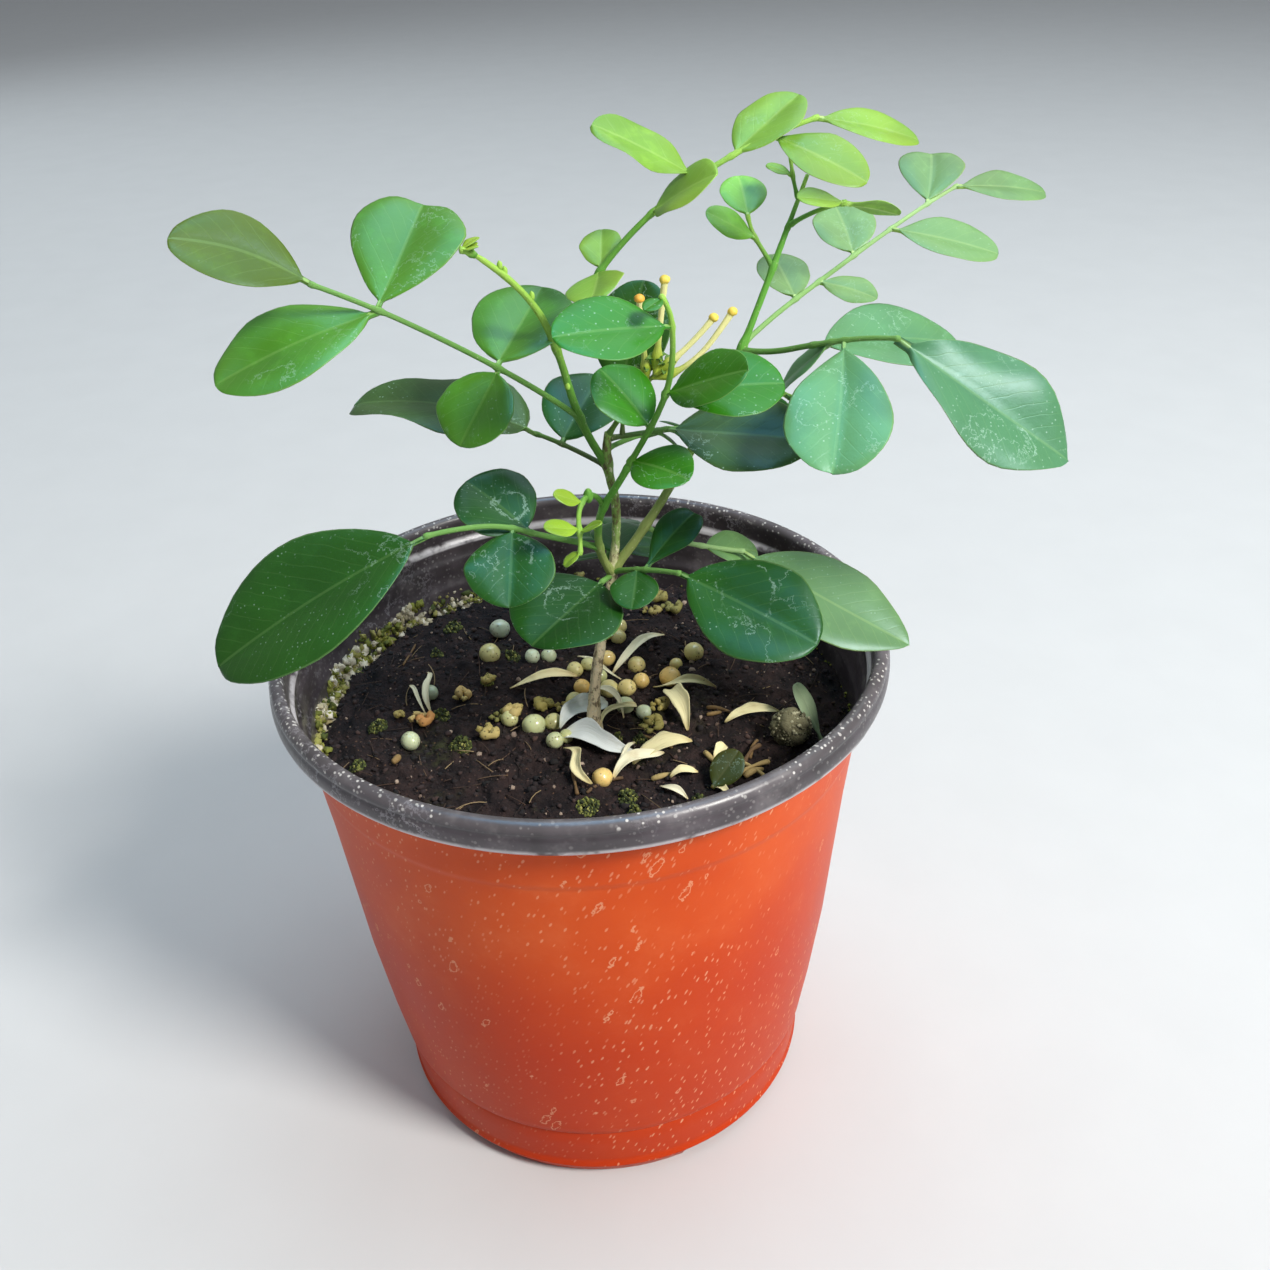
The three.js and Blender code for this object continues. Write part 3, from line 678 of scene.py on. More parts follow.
def make_soil():
    bag = Gathered()
    angles = [2 * math.pi * i / SOIL_SIDES for i in range(SOIL_SIDES)]
    points = [(0, 0, soil_height(0, 0))]
    for radius in np.linspace(1.0, SOIL_REACH, SOIL_RINGS):
        for angle in angles:
            x, y, _ = polar(radius, angle, 0)
            points.append((x, y, soil_height(x, y)))
    below = [(wall_radius(60.0) - GAP, 60.0), (wall_radius(LOWER_HEIGHT) - GAP, LOWER_HEIGHT),
             (wall_radius(FLOOR + 1) - GAP, FLOOR + GAP), (10.0, FLOOR + GAP)]
    for radius, height in below:
        points += [polar(radius, angle, height) for angle in angles]
    points.append((0, 0, FLOOR + GAP))
    rows = SOIL_RINGS + len(below)
    faces = [(0, 1 + i, 1 + (i + 1) % SOIL_SIDES) for i in range(SOIL_SIDES)]
    faces += ring_faces(rows, SOIL_SIDES, 1)
    last = 1 + (rows - 1) * SOIL_SIDES
    faces += [(len(points) - 1, last + (i + 1) % SOIL_SIDES, last + i) for i in range(SOIL_SIDES)]
    bag.add(points, faces)
    bag.piece("soil_surface", [soil_finish()], "soil", ["soil"])


def scattered(count, seed, reach):
    """Seeded places on the soil, inside a radius."""
    rng = np.random.RandomState(seed)
    radii, turns = reach * np.sqrt(rng.rand(count)), 2 * math.pi * rng.rand(count)
    return [(r * math.cos(a), r * math.sin(a), rng.rand(4)) for r, a in zip(radii, turns)]


def make_crumbs():
    bag = Gathered()
    for x, y, draw in scattered(CRUMBS, 5, SOIL_REACH - 1.2):
        size = 0.16 + 0.5 * draw[0] ** 5
        centre = (x, y, soil_height(x, y) + 0.1 * size)
        radii = (size * (0.8 + 0.5 * draw[1]), size, size * 0.75)
        add_lump(bag, centre, radii, level=1, rough=0.9, grain=1.4, seed=draw[2], turn=6 * draw[3])
    stops = [(0.0, 0x100C0C), (0.62, 0x2A1E1E), (0.94, 0x48342E), (1.0, 0xA89484)]
    crumb = tinted_finish("soil_crumbs", stops, 0.95, grain=900.0, depth=0.6)
    bag.piece("soil_crumbs", [crumb], "soil")


def make_fibres():
    bag = Gathered()
    for x, y, draw in scattered(FIBRES, 11, SOIL_REACH - 3):
        length = 2.5 + 5 * draw[0]
        rise = 30 * (draw[1] - 0.4)
        turn = 360 * draw[2]
        start = np.array([x, y, soil_height(x, y) + 0.12])
        course = Course(start, [turn, turn + 70 * (draw[3] - 0.5)], [rise, -rise], length)
        if math.hypot(*course.point(length)[:2]) > SOIL_REACH - 1:
            continue
        add_tube(bag, course, lambda d: 0.09, sides=4, step=0.9, seed=draw[3])
    finish = tinted_finish("soil_fibres", [(0.0, 0x20150F), (0.7, 0x4A3426), (1.0, 0x9A8460)], 0.85)
    bag.piece("soil_fibres", [finish], "soil")


# The photograph's camera gives the places of what lies on the soil

def camera_axes():
    e, roll = CAMERA_PITCH, CAMERA_ROLL
    back = np.array([0, -math.cos(e), math.sin(e)])
    right = np.array([1.0, 0, 0])
    up = np.cross(back, right)
    c, s = math.cos(roll), math.sin(roll)
    return back, c * right + s * up, -s * right + c * up


BACK, RIGHT, UP = camera_axes()


def on_soil(pixel, lift=0.0):
    """The point of the soil's surface seen at a pixel of the photograph."""
    px, py = pixel
    ray = ((px - PHOTO_SIZE / 2) * RIGHT - (py - PHOTO_SIZE / 2) * UP) / FOCAL_PIXELS - BACK
    height = SOIL_TOP + lift
    for _ in range(4):
        place = CAMERA_PLACE + ray * (height - CAMERA_PLACE[2]) / ray[2]
        reach = math.hypot(place[0], place[1])
        if reach > SOIL_REACH - 0.5:
            place[:2] *= (SOIL_REACH - 0.5) / reach
        height = soil_height(place[0], place[1]) + lift
    place[2] = height
    return place


# Feed beads: pixel, radius in mm, and age from pale green through ochre to orange
BEADS = [
    ((500, 630), 1.95, 0.02), ((489.7, 653.3), 1.95, 0.42), ((532.3, 656.3), 1.5, 0.08),
    ((549, 657), 1.45, 0.14), ((606, 632.5), 1.55, 0.9), ((619.3, 626.7), 1.5, 0.5),
    ((618.3, 637), 1.5, 0.46), ((607, 657.7), 1.6, 0.72), ((636.7, 662.7), 1.7, 0.56),
    ((693.7, 651.7), 1.85, 0.52), ((575, 670), 1.5, 0.48), ((581.7, 683), 1.45, 0.88),
    ((600, 678.3), 1.35, 0.3), ((609.3, 689.3), 1.7, 0.5), ((627, 688), 1.6, 0.62),
    ((641.3, 683), 1.5, 0.8), ((670, 675.7), 1.95, 0.86), ((574.7, 700.7), 1.6, 0.44),
    ((510, 722.3), 1.5, 0.36), ((533.7, 724), 2.05, 0.26), ((553.7, 722), 1.6, 0.4),
    ((625.3, 706), 1.6, 0.2), ((643.7, 712.7), 1.35, 0.1), ((602.3, 776.7), 1.7, 0.78),
    ((411, 743.7), 1.75, 0.16), ((430, 693), 1.5, 0.06), ((555, 741.7), 1.5, 0.24), ((566, 733), 1.3, 0.34),
    ((588, 664), 1.3, 0.38), ((676, 664), 1.2, 0.6),
]
# Crushed and mossed beads: pixel, radius, age
HUSKS = [
    ((544, 705.3), 1.75, 0.35), ((513.3, 708.7), 1.8, 0.7), ((486, 730), 1.7, 0.6),
    ((418, 717.7), 1.6, 0.95), ((562, 710), 1.3, 0.55), ((496.7, 716.7), 1.3, 0.15),
    ((656.3, 707), 1.3, 0.5), ((650, 726.7), 1.7, 0.3), ((462, 697), 1.5, 0.8), ((400, 717), 1.0, 0.5),
    ((488, 677), 1.3, 0.45), ((655, 596), 1.8, 0.3), ((668, 607), 1.5, 0.2), ((648, 611), 1.2, 0.5),
]
# Moss: pixel and spread in mm
MOSS = [
    ((588, 808), 3.2), ((628, 798), 2.8), ((634, 813), 1.8), ((378, 728), 3.0), ((442, 718), 2.6),
    ((453, 627), 3.2), ((513, 657), 2.4), ((460, 743), 3.4), ((437, 655), 2.0), ((357, 767), 2.6),
    ((488, 684), 2.0), ((640, 742), 2.0), ((700, 801), 2.2), ((648, 727), 1.6), ((618, 740), 1.4),
]
# Petals: from pixel, to pixel, width, arch, twist in degrees, kind
PETALS = [
    ((510, 689), (577, 676), 1.8, 1.2, 60, 1), ((613, 673), (664, 635), 1.6, 2.2, 35, 0),
    ((578, 657), (621, 678), 0.7, 0.8, 30, 0), ((653, 687), (716, 687), 1.6, 1.2, 150, 1),
    ((671, 690), (688, 727), 3.4, 2.2, 25, 1), ((725, 723), (779, 711), 1.9, 1.3, 60, 1),
    ((560, 729), (606, 702), 3.9, 1.0, 15, 2), ((562, 741), (633, 753), 4.0, 0.9, 15, 2),
    ((597, 692), (624, 721), 1.2, 3.0, 30, 0), ((600, 733), (636, 705), 1.2, 2.4, 90, 1),
    ((613, 779), (664, 751), 2.0, 1.8, 50, 0), ((633, 764), (692, 741), 2.8, 1.6, 60, 1),
    ((564, 750), (592, 784), 2.1, 1.0, 40, 1), ((715, 761), (727, 745), 1.9, 1.0, 40, 1),
    ((670, 777), (698, 770), 1.5, 0.9, 60, 1), ((660, 787), (688, 799), 1.1, 0.7, 40, 0),
    ((713, 788), (734, 794), 1.2, 0.7, 50, 1), ((410, 687), (425, 712), 0.8, 1.2, 20, 0),
    ((428, 673), (431, 712), 1.5, 1.6, 40, 0), ((635, 742), (617, 765), 0.7, 0.9, 20, 0),
]
# Thin dry stalks: from pixel, to pixel, radius, arch
STALKS = [
    ((707, 707), (735, 716), 0.35, 1.0), ((707, 713), (720, 712), 0.3, 0.6),
    ((587, 794), (622, 780), 0.25, 0.8), ((573, 772), (577, 793), 0.3, 0.8),
    ((638, 735), (671, 747), 0.22, 0.6), ((652, 779), (672, 774), 0.4, 0.7),
    ((735, 778), (768, 762), 0.35, 1.4), ((742, 770), (760, 745), 0.35, 2.2),
    ((738, 762), (765, 778), 0.3, 1.2), ((745, 780), (762, 768), 0.45, 2.0),
    ((728, 766), (752, 772), 0.4, 1.0), ((705, 752), (716, 763), 0.4, 0.9),
    ((750, 758), (757, 742), 0.3, 2.0), ((393, 762), (398, 757), 0.5, 0.6),
    ((403, 665), (415, 645), 0.18, 0.8),
]
# Single things: the pixel where each stands, and the stone's size
DEAD_LEAF = (712, 790)
DUSTY_LEAF = (822, 742)
STONE = (791, 727)
STONE_RADII = np.array([3.4, 3.2, 3.0])
STONE_LIFT = 2.4
STONE_LUMPS = 520


def add_blade(bag, start, end, width, arch, twist, material=0, seed=0.0, thick=0.2, blunt=0.75, tilt=25):
    """A petal or strip that arches from start to end, turns about its own length and tilts."""
    rows, columns = 22, 9
    span = end - start
    length = np.linalg.norm(span)
    level = unit(np.cross((0, 0, 1), span))
    side_swing = 0.2 * length * (seeded(seed + 4) - 0.5)
    lean = math.radians(tilt) * (1 if span[0] > 0 else -1)
    points, places = [], []
    for i in range(rows):
        s = i / (rows - 1)
        half = width / 2 * math.sin(math.pi * (0.03 + 0.94 * s) ** blunt) ** 0.8
        half = max(0.12, half * (1 + 0.22 * noise.noise(Vector((4.5 * s, seed * 3.1, 1.0)))))
        centre = start + s * span
        centre = centre + np.array([0, 0, arch * math.sin(math.pi * s) + half * abs(math.sin(lean))])
        centre = centre + level * side_swing * math.sin(2 * math.pi * s)
        angle = math.radians(twist) * (s - 0.5) + lean
        across = level * math.cos(angle) + np.array([0, 0, 1]) * math.sin(angle)
        normal = unit(np.cross(span, across))
        top, under = [], []
        for j in range(columns):
            t = 2 * j / (columns - 1) - 1
            curl = 0.5 * half * t * t + 0.1 * half * noise.noise(Vector((5 * s, 2 * t, seed * 1.7)))
            edge = thick * (0.35 if abs(t) == 1 else 1) / 2
            place = centre + across * half * t + normal * curl
            top.append(place + normal * edge)
            under.append(place - normal * edge)
            places.append((t * half, s * length, s))
        points += top + under[::-1]
        places += places[-columns:][::-1]
    ring = 2 * columns
    faces = ring_faces(rows, ring)
    faces.append(tuple(range(ring)))
    faces.append(tuple((rows - 1) * ring + k for k in range(ring))[::-1])
    bag.add(points, faces, material, np.array(places), seed=seed)


# Stems: the trunk and shoots are drawn with bark relief, the stalks of the sprays smooth

TRUNK = dict(
    start=TRUNK_FOOT, heading=[30, 18, 20, 20], rise=[88, 84, 78, 78, 80, 86, 103, 76], length=TRUNK_LENGTH,
    thick=[1.7, 1.15, 1.05, 0.95, 0.85, 0.8, 0.8, 0.8, 0.75],
)
SHOOTS = {
    "left_shoot": dict(at=UPPER_NODE, heading=[186, 200, 218, 208, 198, 192], rise=[56, 71, 77, 69, 50, 36],
                       length=39, thick=[0.75, 0.7, 0.6, 0.5]),
    "right_shoot": dict(at=LOW_NODE, heading=[8, 17, 28, 30, 38], rise=[50, 56, 56, 64, 62], length=58,
                        thick=[0.9, 0.8, 0.65, 0.5]),
    "front_shoot": dict(at=LOW_NODE - 0.5, heading=[-135, -100, -75, -40, -26], rise=[55, 62, 62, 55, 62],
                        length=28, thick=[0.8, 0.7, 0.6]),
}
# The stems are drawn slimmer than their solids, as in the photograph
SLIMMER = 0.84
# Small buds on the shoots: shoot, distance along it, heading of the side they are on
STEM_BUDS = [
    ("left_shoot", 28.9, 40), ("left_shoot", 33.9, 80), ("left_shoot", 35.2, 30), ("left_shoot", 14.0, 250),
    ("front_shoot", 12.5, 200), ("right_shoot", 22.0, 220),
]


def swelling(distance, places, height, reach):
    """What the nodes at these places add to a stem's radius."""
    return sum(height * math.exp(-((distance - p) / reach) ** 2) for p in places)


def around(angle, reach, height):
    """A place on a cylinder in the space of the relief's noise."""
    return Vector((math.cos(angle) * reach, math.sin(angle) * reach, height))


def grow_limbs():
    limbs = {"trunk": Course(TRUNK["start"], TRUNK["heading"], TRUNK["rise"], TRUNK["length"])}
    for name, shoot in SHOOTS.items():
        start = limbs["trunk"].point(shoot["at"])
        limbs[name] = Course(start, shoot["heading"], shoot["rise"], shoot["length"])
    return limbs


def make_trunk(trunk):
    bag = Gathered()

    def radius(d):
        slim = blend(TRUNK["thick"], d / trunk.length) * SLIMMER
        return slim + swelling(d, (LOW_NODE, UPPER_NODE), 0.26, 1.3) + swelling(d, (0.0,), 0.25, 1.5)

    def bark(angle, d):
        coarse = noise.fractal(around(angle, 1.4, d * 0.35), 0.9, 2.0, 3)
        fine = noise.noise(around(angle, 3.0, d * 1.6))
        return (1.0 - 0.6 * d / trunk.length) * (0.16 * coarse + 0.09 * fine)

    add_tube(bag, trunk, radius, sides=28, step=0.3, relief=bark, seed=0.35)
    finish = stem_finish("bark", 0xEEDDB8, 0x789A48, 0.85, 0.1, 0.42)
    bag.piece("trunk_bark", [finish], "bark", ["trunk"])


def add_shoot(bag, course, thick, carried, index, material):
    """A main shoot: ridged, swollen where a spray leaves it, and drawn in at its tip."""
    def radius(d):
        tip = 1.0 - 0.35 * max(0.0, (d / course.length - 0.96) / 0.04)
        return tip * (SLIMMER * blend(thick, d / course.length) + swelling(d, [0.8] + carried, 0.16, 0.9))

    def ridges(angle, d):
        return 0.05 * noise.fractal(around(angle, 1.2, d * 0.25 + 9 * index), 0.9, 2.0, 3)

    add_tube(bag, course, radius, sides=20, step=0.4, relief=ridges, seed=0.12, material=material)


def make_shoots(limbs):
    bag = Gathered()
    for index, (name, shoot) in enumerate(SHOOTS.items()):
        carried = [m["at"] for m in MASSES if m["on"] == name and m["name"] != "bud_left"]
        add_shoot(bag, limbs[name], shoot["thick"], carried, index, 1 if name == "left_shoot" else 0)
    for name, distance, turn in STEM_BUDS:
        centre = limbs[name].point(distance) + direction(turn, 45) * 0.68
        add_lump(bag, centre, (0.4, 0.4, 0.75), level=3, rough=0.15, seed=-0.9, material=1)
    green = stem_finish("green_bark", 0x8F9C58, 0x64A83C, 0.4)
    lime = stem_finish("lime_bark", 0x52882C, 0x9CC650, 0.25, 0.2, 0.85)
    bag.piece("shoots", [green, lime], "green_bark", list(SHOOTS))


# Leaflets: each grid of a blade follows the solids' outline, finer and softly curved

HALF_COLUMNS = [0.06, 0.18, 0.34, 0.52, 0.7, 0.86, 0.965, 1]
COLUMNS = np.array([-c for c in HALF_COLUMNS[::-1]] + HALF_COLUMNS)
STALK_ROWS = [0.0, 0.035, 0.066]
BLADE_ROWS = [0.012, 0.04, 0.08, 0.13, 0.19, 0.25, 0.32, 0.39, 0.46, 0.53, 0.6, 0.67, 0.74, 0.8, 0.86, 0.91,
              0.945, 0.97, 0.985, 0.995, 1.0]


def smooth(value, low, high):
    """Rises smoothly from 0 to 1 while value goes from low to high."""
    t = np.clip((value - low) / (high - low), 0, 1)
    return t * t * (3 - 2 * t)


def blade_half_width(leaf, blade):
    """Half the blade's width at a share of its length: a sine, its base and tip made fuller or finer."""
    power = math.log(0.5) / math.log(leaf.get("widest", 0.53))
    base = leaf.get("base", 0.72 - 0.24 * smooth(leaf["width"] / leaf["length"], 0.52, 0.85))
    exponent = base - (base - leaf.get("tip", 0.56)) * smooth(blade, 0.3, 0.85)
    return max(math.sin(math.pi * min(blade, 1.0) ** power), 0.0) ** exponent * leaf["width"] / 2


def leaf_rows(leaf):
    """Each row's share of the length and its half width, the stalk's first."""
    stalk = min(0.38, leaf["width"] * 0.07)
    rows = [(share, stalk) for share in STALK_ROWS]
    for blade in BLADE_ROWS:
        least = stalk if blade < 0.5 else 0.02
        share = PETIOLULE_SHARE + (1 - PETIOLULE_SHARE) * blade
        rows.append((share, max(least, blade_half_width(leaf, blade))))
    return rows


def leaf_lift(leaf, seed, share, half, across):
    """How far the sheet of a row rises from the leaflet's axis: fold, droop, cupping and wave."""
    off = np.abs(COLUMNS)
    fold = 0.8 * math.tan(math.radians(leaf.get("fold", 12) + 6 * (seeded(seed) - 0.5)))
    wave, phase = leaf.get("wave", 0.02 * seeded(seed + 1)) * leaf["width"], 6 * seeded(seed + 2)
    lift = fold * (np.sqrt(across ** 2 + 0.5) - math.sqrt(0.5))
    lift = lift - leaf.get("droop", 0.08) * leaf["length"] * share ** 2
    lift = lift + 0.045 * half * 4 * off * (1 - off) - 0.05 * half * off ** 4
    return lift + wave * off ** 2 * np.sin(2 * math.pi * 1.7 * share + phase + 2 * (COLUMNS > 0))


def leaf_depth(share, across):
    """The thickness of a row, its midrib below and the groove above that."""
    blade = max(0.0, (share - PETIOLULE_SHARE) / (1 - PETIOLULE_SHARE))
    body = 0.5 - 0.32 * smooth(blade, 0.0, 0.12)
    depth = body * (1 - 0.55 * np.abs(COLUMNS) ** 6) * (1 if share < 0.995 else 0.5)
    rib = 0.22 * (1 - share) * np.exp(-(across / 0.3) ** 2)
    groove = 0.05 * np.exp(-(across / 0.22) ** 2) * (share > PETIOLULE_SHARE)
    return depth, rib, groove


def leaf_faces(rows, front, back):
    """The faces round a leaflet's rows and over both ends, with their materials."""
    count = len(COLUMNS)
    ring = 2 * count - 2
    faces = ring_faces(rows, ring)
    materials = [front if k < count - 1 else back for _ in range(rows - 1) for k in range(ring)]
    last = (rows - 1) * ring
    for j in range(count - 1):
        low_a = 0 if j == 0 else ring - j
        low_b = j + 1 if j + 1 == count - 1 else ring - j - 1
        first = [j, j + 1] + [k for k in (low_b, low_a) if k not in (j, j + 1)]
        faces.append(tuple(first))
        faces.append(tuple(last + k for k in first[::-1]))
        materials += [back, back]
    return faces, materials


def add_leaf(bag, root, leaf, seed, front=0, back=1):
    """A leaflet from its root: rows of a thin closed blade that bends, twists and rolls."""
    length, notch = leaf["length"], leaf.get("notch", 0.014)
    along = direction(leaf["heading"], leaf["rise"])
    level = direction(leaf["heading"] + 90, 0)
    up = np.cross(along, level)
    bend = leaf.get("bend", 0.05 * (seeded(seed + 3) - 0.5)) * length
    roll, twist = leaf.get("roll", 0), leaf.get("twist", 10 * (seeded(seed + 5) - 0.5))
    rows = leaf_rows(leaf)
    points, places = [], []
    for share, half in rows:
        turn = math.radians(roll) + math.radians(twist) * (share - 0.3)
        left = level * math.cos(turn) - up * math.sin(turn)
        normal = np.cross(along, left)
        ragged = [noise.noise(Vector((5 * share, seed * 0.37, k))) for k in (1.0, 9.0)]
        across = COLUMNS * half * (1 + 0.06 * np.where(COLUMNS < 0, ragged[0], ragged[1]))
        back_set = notch * length * smooth(share, 1 - 2.6 * max(notch, 0.02), 1)
        back_set = back_set * np.exp(-(across / (0.2 * leaf["width"])) ** 2)
        depth, rib, groove = leaf_depth(share, across)
        rise = leaf_lift(leaf, seed, share, half, across) + depth / 2 - groove
        base = root + along * (share * length) + left * (bend * math.sin(math.pi * share))
        top = base + np.outer(-back_set, along) + np.outer(across, left) + np.outer(rise, normal)
        low = top - np.outer(depth + rib, normal)
        low[0], low[-1] = top[0], top[-1]
        edge = np.abs(COLUMNS) * (share > PETIOLULE_SHARE)
        place = np.stack([across, share * length - back_set, edge], 1)
        points += [top, low[-2:0:-1]]
        places += [place, place[-2:0:-1]]
    faces, materials = leaf_faces(len(rows), front, back)
    # The leaflet's tone, carried by its seed: low is yellower, high is darker, the darker end partly painted
    # shade
    tone = leaf.get("tone", 0.4 + 0.35 * seeded(seed + 9))
    bag.add(np.vstack(points), faces, materials, np.vstack(places), leaf.get("mark", (0, 0, 0)), tone)


def leaflet(at, heading, rise, length, width, roll=0, **more):
    """A leaflet: distance along its stalk, the angles it points and rolls at, its size, and
    where they are given its fold, droop, bend, wave, notch, shape, finish, tone and water mark."""
    return dict(at=at, heading=heading, rise=rise, length=length, width=width, roll=roll, **more)


def style(at, heading, rise, length):
    """A style of the spent flower, with its round head."""
    return dict(at=at, heading=heading, rise=rise, length=length)


def alternate_leaves(count, length, heading, rise, size, spread, seed):
    """A spray's leaflets, left and right in turn, by the solids' seeded rule."""
    leaves = []
    for index in range(count):
        share = (index + 1) / count
        scale = 0.75 + 0.35 * share + 0.12 * (seeded(seed + index) - 0.5)
        side = 0 if index == count - 1 else (spread if index % 2 == 0 else -spread)
        sway = [seeded(seed + index + more) - 0.5 for more in (20, 40, 60)]
        leaves.append(leaflet(length * (0.25 + 0.75 * share), heading + side + 14 * sway[0],
                              rise + 16 * sway[1], size * scale, size * scale * 0.62, 20 * sway[2]))
    return leaves


